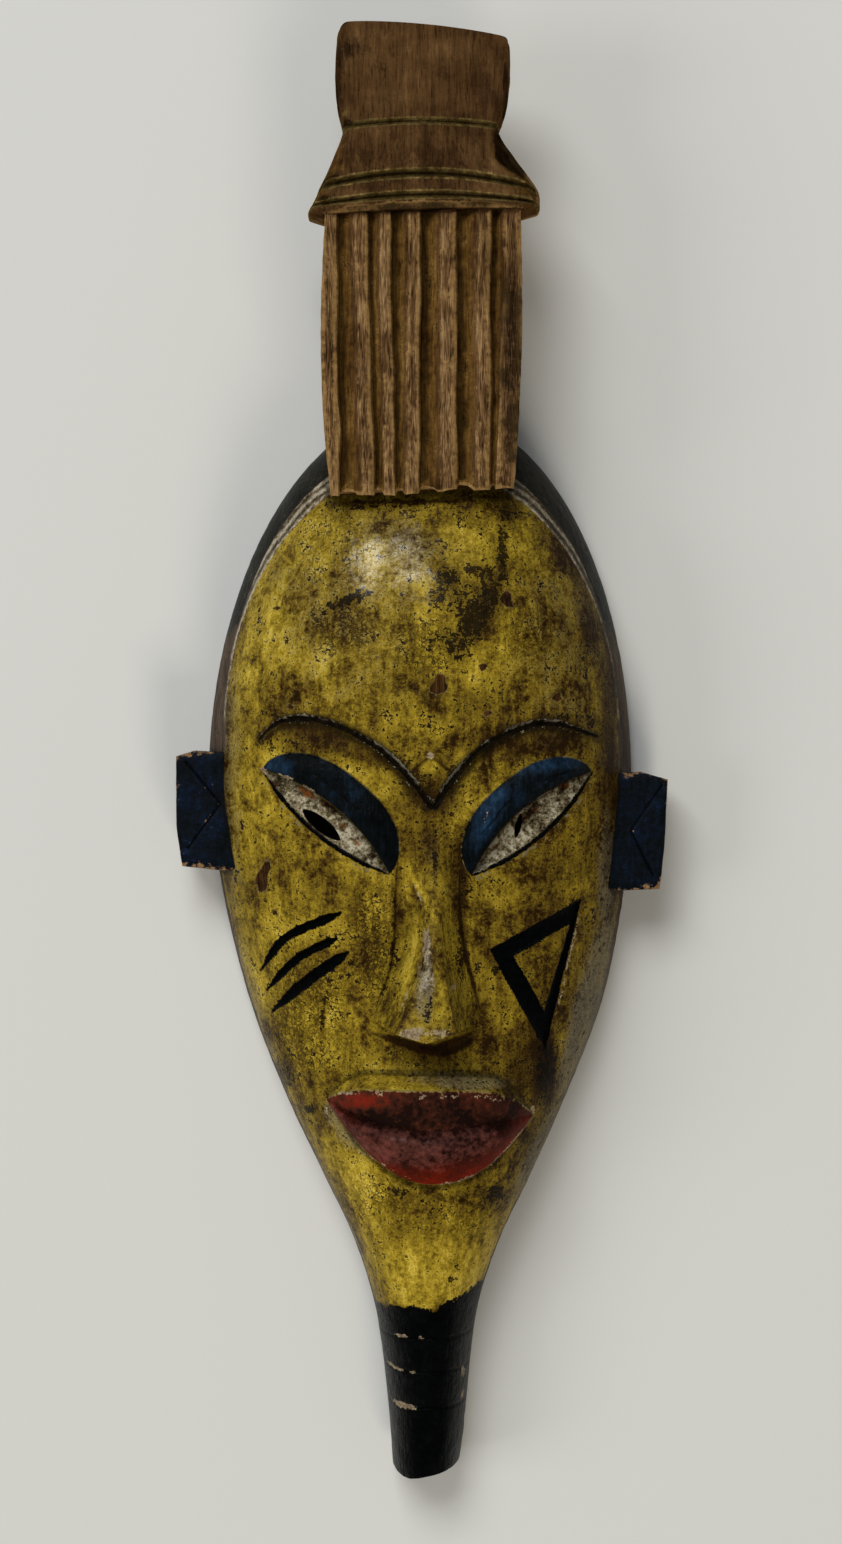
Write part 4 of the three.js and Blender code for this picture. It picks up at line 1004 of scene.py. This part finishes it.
def finishZones(x, y, z):
    zones = {name: ovals(rows, x, y) for name, rows in marks.items() if name != "chip"}
    zones["chip"] = flakes(marks["chip"], x, y)
    outside = outsideFace(x, y)
    fade = ease(faceEdge["fadeFrom"], faceEdge["fadeTo"], y)
    side = lerp(smoothLine([[-90, 15], [90, 18]])(x) - z, outside, fade)
    zones["side"] = np.where(y < paintEdge[0][1] - 30, np.minimum(side, -3), side)
    zones["hair"] = np.minimum(outside - ledgeWidth(y), (y - 48 - 0.3 * z) * 0.16)
    ledge = np.minimum(outside + 0.4, ledgeWidth(y) + 0.2 - outside)
    zones["ledge"] = lerp(-3, ledge, ease(-4, 20, y))
    zones["stripe"] = np.cos(outside * 2 * math.pi / faceEdge["secondLine"] + 0.9 * ripple(25, 51, x, y))
    top, seam, low, _ = lipArcs(x)
    reach = mouth["half"] - np.abs(x - mouth["centre"])
    zones["lip"] = np.minimum(np.minimum(top - y, y - low), reach)
    zones["seam"] = np.where(reach > 0, y - seam, -farOut)
    lines, _ = lineDistance(knifeLines(), x, y)
    outer, inner = (outlineDistance(triangle[key], x, y) for key in ("outer", "inner"))
    zones["line"] = np.maximum(lines, np.minimum(outer, -inner))
    zones["brow"], zones["across"] = lineDistance(browLines, x, y)
    # the fine creases, and the bands of painted shadow under the nose and the crest
    zones["crease"], _ = lineDistance(creases + creaseLines(knife["shade"]), x, y)
    zones["beard"] = smoothLine(paintEdge)(x) - y
    eyeZones(zones, x, y)
    crestZones(zones, x, y, z)
    return zones


def cavities(mesh, points, normals, rounds):
    # how far a point lies below its neighbourhood, after so many rounds of averaging with the neighbours
    ends = np.empty(len(mesh.edges) * 2, np.int32)
    mesh.edges.foreach_get("vertices", ends)
    a, b = ends.reshape(-1, 2).T
    count = len(points)
    share = 1 / (np.bincount(a, minlength=count) + np.bincount(b, minlength=count))
    smooth = points.copy()
    results = []
    for step in range(1, max(rounds) + 1):
        sums = [np.bincount(a, row[b], count) + np.bincount(b, row[a], count) for row in smooth.T]
        smooth = np.stack(sums, axis=1) * share[:, None]
        if step in rounds:
            results.append(((smooth - points) * normals).sum(1))
    return results


# materials


def hexColour(text):
    # an sRGB hex value turned linear: v / 12.92 at the dark end, ((v + 0.055) / 1.055)^2.4 above it
    v = np.array([int(text[i:i + 2], 16) for i in (1, 3, 5)]) / 255
    linear = np.where(v <= 0.04045, v / 12.92, ((v + 0.055) / 1.055) ** 2.4)
    return (*linear.tolist(), 1.0)


def addNode(tree, kind, settings=None, inputs=(), output=None):
    # one node with its settings and links; gives back its first live output, or the one named
    node = tree.nodes.new("ShaderNode" + kind)
    for name, value in (settings or {}).items():
        setattr(node, name, value)
    for name, value in inputs.items() if isinstance(inputs, dict) else enumerate(inputs):
        if isinstance(value, bpy.types.NodeSocket):
            tree.links.new(value, node.inputs[name])
        else:
            node.inputs[name].default_value = value
    return node.outputs[output] if output else next(o for o in node.outputs if o.enabled)


# Sizes are real ones in mm across the grain: grain lines 1.1, streaks 6, fibres 0.45 and bristle marks 1.6.
# Pores are really about 0.2 and are drawn coarser so that they show. A squeeze draws a pattern out along Y.
patterns = {
    "large": {"size": 40, "detail": 1},
    "medium": {"size": 11, "roughness": 0.6, "shift": 3},
    "fine": {"size": 2.4, "roughness": 0.65},
    "tiny": {"size": 0.8, "detail": 1, "shift": 7},
    "curl": {"size": 2.6, "detail": 2, "roughness": 0.6, "shift": 11},
    "grain": {"size": 1.1, "squeeze": 0.05, "roughness": 0.6},
    "streak": {"size": 6, "squeeze": 0.08, "detail": 2, "shift": 5},
    "pores": {"size": 0.7, "squeeze": 0.09, "detail": 1, "shift": 9},
    "fibre": {"size": 0.45, "squeeze": 0.06, "detail": 1, "shift": 15},
    "brush": {"size": 1.6, "squeeze": 0.15, "detail": 2, "shift": 1},
    "swash": {"size": 7, "squeeze": 0.3, "roughness": 0.6, "shift": 13},
}
cells = {"size": 3, "bend": 1.7}  # the paint's cracks lie about 3 mm apart


def randomPattern(tree, size, squeeze=1, detail=3, roughness=0.55, shift=0):
    # blotches of about size mm, longer along Y where squeeze is under 1; centred on 0, mostly within -1 to 1
    place = addNode(tree, "TexCoord", output="Object")
    scale = [1 / mm / size * share for share in (1, squeeze, 1)]
    spot = addNode(tree, "Mapping", {}, {"Vector": place, "Scale": scale, "Location": [shift] * 3})
    noise = addNode(tree, "TexNoise", {},
                    {"Vector": spot, "Scale": 1, "Detail": detail, "Roughness": roughness})
    return addNode(tree, "Math", {"operation": "MULTIPLY_ADD"}, [noise, 4, -2])


def cracks(tree):
    # distance in mm to the edges of cells, whose edges are bent by a pattern
    place = addNode(tree, "TexCoord", output="Object")
    spot = addNode(tree, "Mapping", {}, {"Vector": place, "Scale": [1 / mm / cells["size"]] * 3})
    bent = addNode(tree, "TexNoise", {}, {"Vector": spot, "Scale": 1.3, "Detail": 2}, "Color")
    inputs = [bent, [cells["bend"]] * 3, spot]
    spot = addNode(tree, "VectorMath", {"operation": "MULTIPLY_ADD"}, inputs)
    inputs = {"Vector": spot, "Scale": 1}
    edge = addNode(tree, "TexVoronoi", {"feature": "DISTANCE_TO_EDGE"}, inputs)
    return addNode(tree, "Math", {"operation": "MULTIPLY"}, [edge, cells["size"]])


def fieldOf(tree, fields, name):
    # the output that gives a pattern, the cracks or a zone, made when a layer first asks for it
    if name not in fields:
        if name in patterns:
            fields[name] = randomPattern(tree, **patterns[name])
        elif name == "crack":
            fields[name] = cracks(tree)
        else:
            fields[name] = addNode(tree, "Attribute", {"attribute_name": name}, output="Fac")
    return fields[name]


def levelOf(tree, fields, terms):
    # the weighted sum of some fields
    total = terms.get("plus", 0.0)
    for name, weight in terms.items():
        if name != "plus":
            inputs = [fieldOf(tree, fields, name), weight, total]
            total = addNode(tree, "Math", {"operation": "MULTIPLY_ADD"}, inputs)
    return total


def maskFrom(tree, fields, conditions):
    # the product of the conditions: each is 0 below its low, 1 above its high, smooth between
    mask = 1.0
    for terms, low, high in conditions:
        part = addNode(tree, "MapRange", {"interpolation_type": "SMOOTHSTEP"},
                       {"Value": levelOf(tree, fields, terms), "From Min": low, "From Max": high})
        mask = addNode(tree, "Math", {"operation": "MULTIPLY"}, [part, mask])
    return mask


def shadesFrom(tree, fields, terms, low, high, colours):
    # the colours at even steps as the weighted sum goes from low to high
    inputs = {"Value": levelOf(tree, fields, terms), "From Min": low, "From Max": high}
    shades = addNode(tree, "ValToRGB", {}, [addNode(tree, "MapRange", {}, inputs)])
    stops = shades.node.color_ramp.elements
    while len(stops) < len(colours):
        stops.new(1)
    for i, colour in enumerate(colours):
        stops[i].position = i / (len(colours) - 1)
        stops[i].color = hexColour(colour)
    return shades


def level(low, high, **terms):
    # a weighted sum of patterns and zones, and the two values that it runs between
    return terms, low, high


def layer(colours, *where, tone=level(-1, 1, fine=1), roughness=0.5, strength=1, relief=None):
    # one coat: its shades from dark to light, where it lies, what shades it, and its thickness in mm
    return {"colours": colours.split(), "where": where, "tone": tone, "roughness": roughness,
            "strength": strength, "relief": relief}


coatRoughness = 0.19


def layeredMaterial(name, layers, specular, unevenGloss, coat=()):
    # lays the coats over each other, the first one everywhere; coat says where the surface is glossy
    material = bpy.data.materials.new(name)
    material.use_nodes = True
    tree, fields = material.node_tree, {}
    shader = tree.nodes["Principled BSDF"]
    first, *others = layers
    colour = shadesFrom(tree, fields, *first["tone"], first["colours"])
    roughness, height = first["roughness"], levelOf(tree, fields, first["relief"])
    for row in others:
        shades = shadesFrom(tree, fields, *row["tone"], row["colours"])
        mask = maskFrom(tree, fields, row["where"])
        if row["strength"] < 1:
            mask = addNode(tree, "Math", {"operation": "MULTIPLY"}, [mask, row["strength"]])
        colour = addNode(tree, "Mix", {"data_type": "RGBA"}, {0: mask, 6: colour, 7: shades})
        roughness = addNode(tree, "Mix", {}, {0: mask, 2: roughness, 3: row["roughness"]})
        if row["relief"]:
            inputs = [levelOf(tree, fields, row["relief"]), mask, height]
            height = addNode(tree, "Math", {"operation": "MULTIPLY_ADD"}, inputs)
    uneven = levelOf(tree, fields, {"fine": unevenGloss})
    roughness = addNode(tree, "Math", {"operation": "ADD", "use_clamp": True}, [uneven, roughness])
    bump = addNode(tree, "Bump", {}, {"Strength": 1, "Distance": mm, "Height": height})
    for socket, value in (("Base Color", colour), ("Roughness", roughness), ("Normal", bump)):
        tree.links.new(value, shader.inputs[socket])
    shader.inputs["Specular IOR Level"].default_value = specular
    if coat:
        tree.links.new(maskFrom(tree, fields, coat), shader.inputs["Coat Weight"])
        shader.inputs["Coat Roughness"].default_value = coatRoughness
    return material


yellowOnly = level(0, 1, side=-1)
speckle = level(-0.6, 0.6, fine=0.6, tiny=0.4)
flecks = level(-1, 1, fine=1)
strongFlecks = level(-0.6, 0.6, fine=1)
# gloss where hands have rubbed the paint, but not in its cracks
handled = [level(0.1, 1.9, polish=1, fine=0.5, medium=0.3, swash=0.3), level(0.02, 0.3, crack=1, tiny=0.08)]

# Oil paint over a pale ground on carved hardwood: ochre yellow, aged by a dark glaze that sits in its cracks,
# flaked in spots to the brown wood, glossy where it has been handled. Some of its colour is painted light:
# shade under the brows, the nose and the crest's foot and down the sides, highlights on the forehead, the
# nose and the lids, and a sheen on the lips and the nose's ridge.
paintLayers = [
    layer("#2A2117 #44362A #655544", tone=level(-0.6, 0.6, streak=0.5, grain=0.5),
          relief=dict(grain=0.1, fine=0.06)),
    # the yellow: lighter in pale patches and painted highlights, darker in stains and painted shade, as the
    # marks give
    layer("#281A08 #4C3913 #705C19 #927B22 #B1972F #CFB549", level(-0.3, 0.7, side=-1, fine=0.8, medium=0.5),
          tone=level(-0.68, 0.74, medium=0.44, large=0.24, swash=0.32, fine=0.5, tiny=0.2, brush=0.15,
                bright=0.5, stain=-0.6, plus=0.08), roughness=0.3, relief=dict(fine=0.05, tiny=0.02)),
    # the grey film: dust, and a painted sheen
    layer("#4A4534 #948C77", level(0.2, 1.1, film=1, medium=0.35, fine=0.3), tone=speckle, roughness=0.36,
          strength=0.62),
    layer("#1E1407 #43300D", yellowOnly,
          level(0.65, 1.45, fine=1, medium=0.8, stain=1, bright=-0.5, tiny=0.5),
          tone=level(-0.6, 0.6, medium=1), roughness=0.36, strength=0.66),
    layer("#170E06 #2C1E0B", yellowOnly, level(-0.36, -0.12, crack=-1, tiny=0.08, fine=0.08),
          level(0.25, 0.8, crackle=0.8, medium=0.9, fine=0.7, stain=0.3), tone=level(-1, 1, medium=1),
          strength=0.82, relief=dict(plus=-0.05)),
    layer("#170E06 #2C1E0B", yellowOnly, level(-0.18, -0.05, curl=1), level(-0.18, -0.05, curl=-1),
          level(0.06, 0.55, crackle=0.35, medium=-0.7, tiny=0.4, fine=0.5, stain=0.45, bright=-0.3),
          tone=level(-1, 1, medium=1), strength=0.72),
    # the dark smears, some of them painted shadow
    layer("#0D0B09 #140E08 #1F130A", level(1.05, 1.5, smear=2, fine=1.9, medium=1.1, tiny=1),
          tone=level(-0.5, 0.5, medium=0.6, large=0.6), roughness=0.36, strength=0.95),
    # dark brown in the fine creases, and painted shadow under the nose and below the crest's foot
    layer("#100905 #1C1006 #2E1A0A", yellowOnly, level(-0.7, 0.9, crease=1, fine=1, medium=0.8, tiny=0.3),
          tone=level(-0.6, 0.6, medium=0.6, fine=0.6), roughness=0.4, strength=0.96),
    layer("#17120B #40341F #7D7059 #B3A993", level(0, 0.5, ledge=1, fine=0.4),
          tone=level(-0.7, 0.6, stripe=0.5, fine=0.5, tiny=0.3, medium=0.25, stain=-0.7, plus=0.2),
          roughness=0.45, relief=dict(tiny=0.08)),
    layer("#0B0B08 #181711 #2C2B22", level(-0.3, 0.3, hair=1, fine=0.4, medium=0.3),
          tone=level(-0.6, 0.7, fine=0.5, medium=0.4, tiny=0.2), roughness=0.42, relief=dict(fine=0.06)),
    # the lids' dark blue, lighter where the marks paint a sheen on them
    layer("#060808 #0C1114 #142536 #274560", level(0, 0.35, lid=1, fine=0.35),
          tone=level(-0.5, 0.9, medium=0.35, brush=0.25, bright=0.9, fine=0.2, plus=-0.12), roughness=0.34,
          relief=dict(fine=0.03)),
    layer("#6B5B25 #A3904A", level(-0.5, 0, lid=1), level(-0.7, -0.3, lid=-1), level(0.6, 1.2, white=-1),
          level(-0.2, 0.2, fine=0.7, medium=0.5), tone=speckle, roughness=0.4, strength=0.6),
    layer("#1B140C #4A402D #7E745A #B7AF97", level(-0.1, 0.2, white=1, fine=0.35),
          tone=level(-0.55, 0.65, fine=0.7, tiny=0.3, medium=0.6, curl=0.15, bare=-0.6, plus=0.15),
          roughness=0.45, relief=dict(fine=0.07)),
    layer("#22130A #4A2A14 #8A5326", level(0, 0.5, white=1), level(0.6, 0.85, bare=1, fine=0.5, tiny=0.2),
          tone=level(-0.5, 0.6, medium=0.6, fine=0.7)),
    layer("#4A412C #8C8368", level(0.4, 1.2, under=1), level(0.2, 0.5, medium=0.4, fine=0.8, tiny=0.5),
          tone=speckle, strength=0.7),
    layer("#1A0A07 #3D150C #5C1A0C #7E1E0B", level(-0.1, 0.3, lip=1, fine=0.2),
          tone=level(-0.7, 1.1, medium=0.4, fine=0.4, tiny=0.25, seam=-0.02, lip=-0.08, plus=0.36),
          relief=dict(fine=0.04)),
    # a purple-grey painted sheen on the lips
    layer("#1E0F0C #74433A", level(0, 1.5, lip=1), level(0.3, 1, film=1, medium=0.35, fine=0.35),
          tone=level(-0.6, 0.6, fine=0.7, medium=0.5), roughness=0.45, strength=0.66),
    # the upper lip, darker above the seam: its dark red paint, with painted shade where it turns in to the
    # seam
    layer("#1C110D #48261A #7E2516", level(-0.2, 0.2, lip=1), level(-1, 1.6, seam=1, fine=1),
          tone=level(-0.7, 0.6, medium=0.7, fine=0.5, seam=0.03, bright=0.9, plus=-0.56), strength=0.78),
    layer("#5E5230 #9C8C5C", level(-0.6, -0.25, lip=1), level(-0.3, 0.1, lip=-1),
          level(-0.1, 0.3, fine=0.6, medium=0.6), tone=speckle, strength=0.7),
    layer("#64562F #94844F", level(-0.5, -0.2, lip=1, fine=0.5), level(-0.6, -0.2, lip=-1, fine=0.7),
          level(2, 4, seam=1), level(-0.2, 0.1, fine=0.6, medium=0.7), tone=speckle, strength=0.85),
    layer("#020303 #060707", level(-0.3, 0.05, line=1, fine=0.6, tiny=0.3), tone=strongFlecks,
          roughness=0.32),
    # a brown band round each brow, reaching further below it: painted shade under the brow's edge
    layer("#181006 #2C1F0B", yellowOnly, level(-3.4, 0, brow=1, fine=1.1, medium=0.9, across=-0.2),
          tone=level(-0.6, 0.6, medium=1), roughness=0.4, strength=0.78),
    layer("#090806 #1A1610", level(-0.6, 0.3, brow=1, fine=0.9, medium=0.9, tiny=0.4), tone=strongFlecks,
          roughness=0.4),
    # a grey line just above each brow: worn paint, with a painted highlight on the groove's upper edge
    layer("#38362D #8D8773", level(-0.5, -0.1, brow=1, tiny=0.4), level(0.6, 0.9, across=1, fine=0.5),
          level(-0.1, 0.4, medium=1, fine=0.8), tone=speckle, roughness=0.45, strength=0.85),
    layer("#6E6546 #B0A67C", level(-1.2, -0.7, brow=1), level(0.9, 1.4, across=-1),
          level(0.6, 0.9, tiny=0.8, fine=0.9, medium=0.5), tone=speckle, strength=0.85),
    layer("#020303 #050606 #0A0B0B", level(-0.3, 0.4, beard=1, fine=2, medium=1.6, tiny=0.5),
          tone=level(-0.6, 0.6, medium=0.6, fine=0.4), roughness=0.3, relief=dict(fine=0.06)),
    layer("#0E0A05 #1D1508", level(0.08, 0.4, cavity=1, fine=0.04), level(0, 2, beard=-1),
          level(-2, 0, white=-1), level(0, 1, line=-1), level(-1, 1, lip=-1), tone=strongFlecks,
          roughness=0.45, strength=0.6),
    layer("#4E4226 #877850", level(-0.42, -0.28, chip=1, tiny=0.2), tone=speckle, strength=0.6),
    layer("#1C0F06 #33200D #573A1C", level(-0.2, 0.1, chip=1, tiny=0.25),
          tone=level(-0.6, 0.6, grain=0.6, medium=0.5), roughness=0.6, relief=dict(plus=-0.2)),
    layer("#54463A #8E7B66 #B3A580", level(0.05, 0.3, worn=1), level(0.45, 0.7, worn=1, fine=0.45, tiny=0.3),
          tone=speckle, roughness=0.45, strength=0.85),
]

# Dark-stained hardwood: flat tops gone greyish with handling, golden brown where the gouge cut deeper.
crestLayers = [
    layer("#22160C #3E2A17 #5A4126 #785C3A",
          tone=level(-0.75, 0.75, streak=0.25, grain=0.3, medium=0.35, large=0.3, tiny=0.1), roughness=0.65,
          relief=dict(grain=0.08)),
    layer("#20140A #412C13 #60451F #7F6132", level(0.7, 1.8, sunk=1, fine=0.3),
          tone=level(-0.7, 0.7, streak=0.25, grain=0.35, medium=0.35, fine=0.3, plus=0.1), roughness=0.65,
          relief=dict(fine=0.08)),
    layer("#1B1206 #44361A #6B5B35", level(-0.7, 0, groove=1, fine=0.3),
          tone=level(-0.6, 0.6, groove=-0.25, streak=0.3, fine=0.4, plus=0.3), roughness=0.65),
    layer("#271A0F #543C23 #7D603F #A78A64", level(-0.9, -0.3, sunk=-1, fine=0.3), level(0.2, 0.6, ridged=1),
          tone=level(-0.72, 0.8, streak=0.3, grain=0.35, fibre=0.55, medium=0.3, large=0.2), roughness=0.6),
    layer("#0F0904 #1B1108", level(0.35, 0.75, pores=1), roughness=0.6, strength=0.5,
          relief=dict(plus=-0.1)),
    layer("#0F0904 #1B1108", level(-0.14, -0.04, curl=1), level(-0.14, -0.04, curl=-1),
          level(0.2, 0.6, ridged=1), level(0.15, 0.5, medium=1, fine=0.5), roughness=0.6, strength=0.6),
    layer("#0E0803 #1A1005", level(0.25, 0.7, cavity=1, fine=0.08), roughness=0.65, strength=0.7),
    layer("#6E5029 #B08D58", level(0.22, 0.5, edge=1, fine=0.12, medium=0.2, grain=0.08),
          tone=level(-0.6, 0.6, fine=0.6, grain=0.4), roughness=0.6, strength=0.6),
    # dark smears, and partly painted shadow along the flare's lower edge
    layer("#060403 #140C07", level(0.35, 0.9, crestSmear=1, medium=0.35, grain=0.2, fine=0.2), roughness=0.4,
          strength=0.86),
]

# The same hardwood left raw behind, hollowed with a gouge and browned by age.
backLayers = [
    layer("#3A281B #523A29 #6B4F3A #83664C", tone=level(-0.7, 0.7, streak=0.4, grain=0.4, large=0.3),
          roughness=0.68, relief=dict(grain=0.12)),
    layer("#21150D #2E1F13", level(0.35, 0.7, pores=1), roughness=0.7, strength=0.5, relief=dict(plus=-0.1)),
    layer("#21150D #291C14", level(0.1, 0.6, cavity=1, fine=0.05), roughness=0.75, strength=0.5),
]

# Dark blue oil paint, thin over the wood and knocked off at the corners.
earLayers = [
    layer("#050707 #090E12 #0A1320 #0F203A",
          tone=level(-0.65, 0.7, medium=0.5, fine=0.45, tiny=0.25, brush=0.2),
          relief=dict(fine=0.08, brush=0.06)),
    layer("#030507 #06090D", level(0.1, 0.5, cavity=1, fine=0.05), roughness=0.6, strength=0.5),
    layer("#4A3422 #94744F", level(0.45, 0.65, edge=1, fine=0.45, medium=0.35),
          tone=level(-0.6, 0.6, fine=0.6, grain=0.4), roughness=0.6, relief=dict(plus=-0.15)),
]

oilPaint = layeredMaterial("agedOilPaint", paintLayers, 0.025, 0.08, handled)
stainedWood = layeredMaterial("stainedHardwood", crestLayers, 0, 0.1)
rawWood = layeredMaterial("rawGougedHardwood", backLayers, 0.15, 0.05)
earPaint = layeredMaterial("darkBlueOilPaint", earLayers, 0.06, 0.15)
print("materials ready")

mask = frontSolid(oilPaint)
print("front surface:", len(mask.data.vertices), "points")
for which in eyeNames:
    combine(mask, lidSolid(which, oilPaint), "UNION")
for which in eyeNames:
    combine(mask, whiteSolid(which, oilPaint), "DIFFERENCE")
for part in (noseSolid(oilPaint), lipsSolid(oilPaint)):
    combine(mask, part, "UNION")
tree = BVHTree.FromObject(mask, bpy.context.evaluated_depsgraph_get())
combine(mask, frameSolid(tree, oilPaint), "DIFFERENCE")
browLines = [(path, brow["width"], brow["depth"], ends) for path, ends in zip(browPaths, brow["ends"])]
creases = creaseLines(knife["creases"])
rings = [(ringPath(height), beard["ringWidth"], beard["ringDepth"], (0, 0)) for height in beard["rings"]]
for line in browLines + knifeLines() + creases + rings:
    combine(mask, grooveSolid(tree, *line, oilPaint), "DIFFERENCE")
for which in eyeNames:
    ear = earSolid(which, earPaint)
    for arrow in arrowSolids(which, earPaint):
        combine(ear, arrow, "DIFFERENCE")
    combine(mask, ear, "UNION")
crest = blockSolid(stainedWood)
combine(crest, boardSolid(stainedWood), "UNION")
combine(mask, crest, "UNION")
slits = [slitSolid(which, rawWood) for which in eyeNames]
for part in [beardBackSolid(rawWood), hollowSolid(rawWood)] + slits:
    combine(mask, part, "DIFFERENCE")
welded(mask.data, 0.005 * mm)
print("carving done")


def readVectors(owner, name):
    values = np.empty(len(owner) * 3, np.float32)
    owner.foreach_get(name, values)
    return values.reshape(-1, 3).astype(float)


surface = {"soften": 0.3, "most": 0.4, "inward": 0.06, "swellLength": 6, "flakeDepth": 0.3, "sharp": 38}


def finishSurface(mesh):
    # softens the edges by part of a step towards the neighbours, sinks the flakes, and writes the zones
    points, normals = readVectors(mesh.vertices, "co") / mm, readVectors(mesh.vertex_normals, "vector")
    low, high = np.array(cadBox) / mm
    x, y, z = (points + [0, middle, 0]).T
    edge, near, small = cavities(mesh, points, normals, [1, 2, 6])
    move = surface["soften"] * np.clip(edge, -surface["most"], surface["most"])
    move = move - surface["inward"] * (1 + ripple(surface["swellLength"], 31, x, y, z))
    zones = finishZones(x, y, z)
    zones["cavity"], zones["edge"] = small, np.where(y > crestTop - 1, 0, -near)
    move = move - surface["flakeDepth"] * ease(-0.3, 0.4, zones["chip"])
    move[z < 0.01] = 0
    points = np.clip(points + normals * move[:, None], low, high)
    mesh.vertices.foreach_set("co", (points * mm).astype(np.float32).ravel())
    for name, values in zones.items():
        mesh.attributes.new(name, "FLOAT", "POINT").data.foreach_set("value", values.astype(np.float32))


finishSurface(mask.data)
mask.data.calc_loop_triangles()
print("carved mask:", len(mask.data.loop_triangles), "triangles")

mask.data.shade_smooth()
mask.data.set_sharp_from_angle(angle=math.radians(surface["sharp"]))

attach(mask, "root")
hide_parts("carved_mask")


# floor, light and camera

studio = {
    "floor": "#D8D9D5", "size": 6.0, "level": -0.0004, "sky": "#E9EBEE", "skyStrength": 0.18,
    "camera": (-0.0004, -0.0053, 1.3), "lens": 69.81, "sensor": 36,
}

floorMesh = bpy.data.meshes.new("studioFloor")
half = studio["size"] / 2
corners = [(x * half, y * half, studio["level"]) for x, y in ((-1, -1), (1, -1), (1, 1), (-1, 1))]
floorMesh.from_pydata(corners, [], [(0, 1, 2, 3)])
floorPaint = bpy.data.materials.new("paleBackdrop")
floorPaint.use_nodes = True
floorShader = floorPaint.node_tree.nodes["Principled BSDF"]
floorShader.inputs["Base Color"].default_value = hexColour(studio["floor"])
floorShader.inputs["Roughness"].default_value = 0.85
floorMesh.materials.append(floorPaint)
floor = bpy.data.objects.new("studioFloor", floorMesh)
bpy.context.scene.collection.objects.link(floor)

world = bpy.data.worlds.new("softSky")
bpy.context.scene.world = world
bpy.context.scene.view_settings.view_transform = "Standard"
world.use_nodes = True
sky = world.node_tree.nodes["Background"]
sky.inputs["Color"].default_value = hexColour(studio["sky"])
sky.inputs["Strength"].default_value = studio["skyStrength"]

lights = {
    "key": {"at": (-1.3, 3.15, 4.4), "size": (3.0, 2.5), "power": 184, "colour": "#FDFDFD", "glossy": True},
    "side": {"at": (-4.6, -0.8, 3.2), "size": (2.4, 2.4), "power": 88, "colour": "#FFFFFF", "glossy": False},
    "low": {"at": (1.1, -3.6, 2.8), "size": (1.4, 1.4), "power": 72, "colour": "#FFF3E0", "glossy": False},
}
for name, light in lights.items():
    data = bpy.data.lights.new(name, "AREA")
    data.shape = "RECTANGLE"
    data.size, data.size_y = light["size"]
    data.energy = light["power"]
    data.color = hexColour(light["colour"])[:3]
    lamp = bpy.data.objects.new(name, data)
    lamp.location = light["at"]
    lamp.rotation_euler = (-Vector(light["at"])).to_track_quat("-Z", "Y").to_euler()
    lamp.visible_glossy = light["glossy"]
    bpy.context.scene.collection.objects.link(lamp)

cameraData = bpy.data.cameras.new("camera")
cameraData.lens = studio["lens"]
cameraData.sensor_width = studio["sensor"]
camera = bpy.data.objects.new("camera", cameraData)
camera.location = studio["camera"]
bpy.context.scene.collection.objects.link(camera)
bpy.context.scene.camera = camera
print("stage ready")
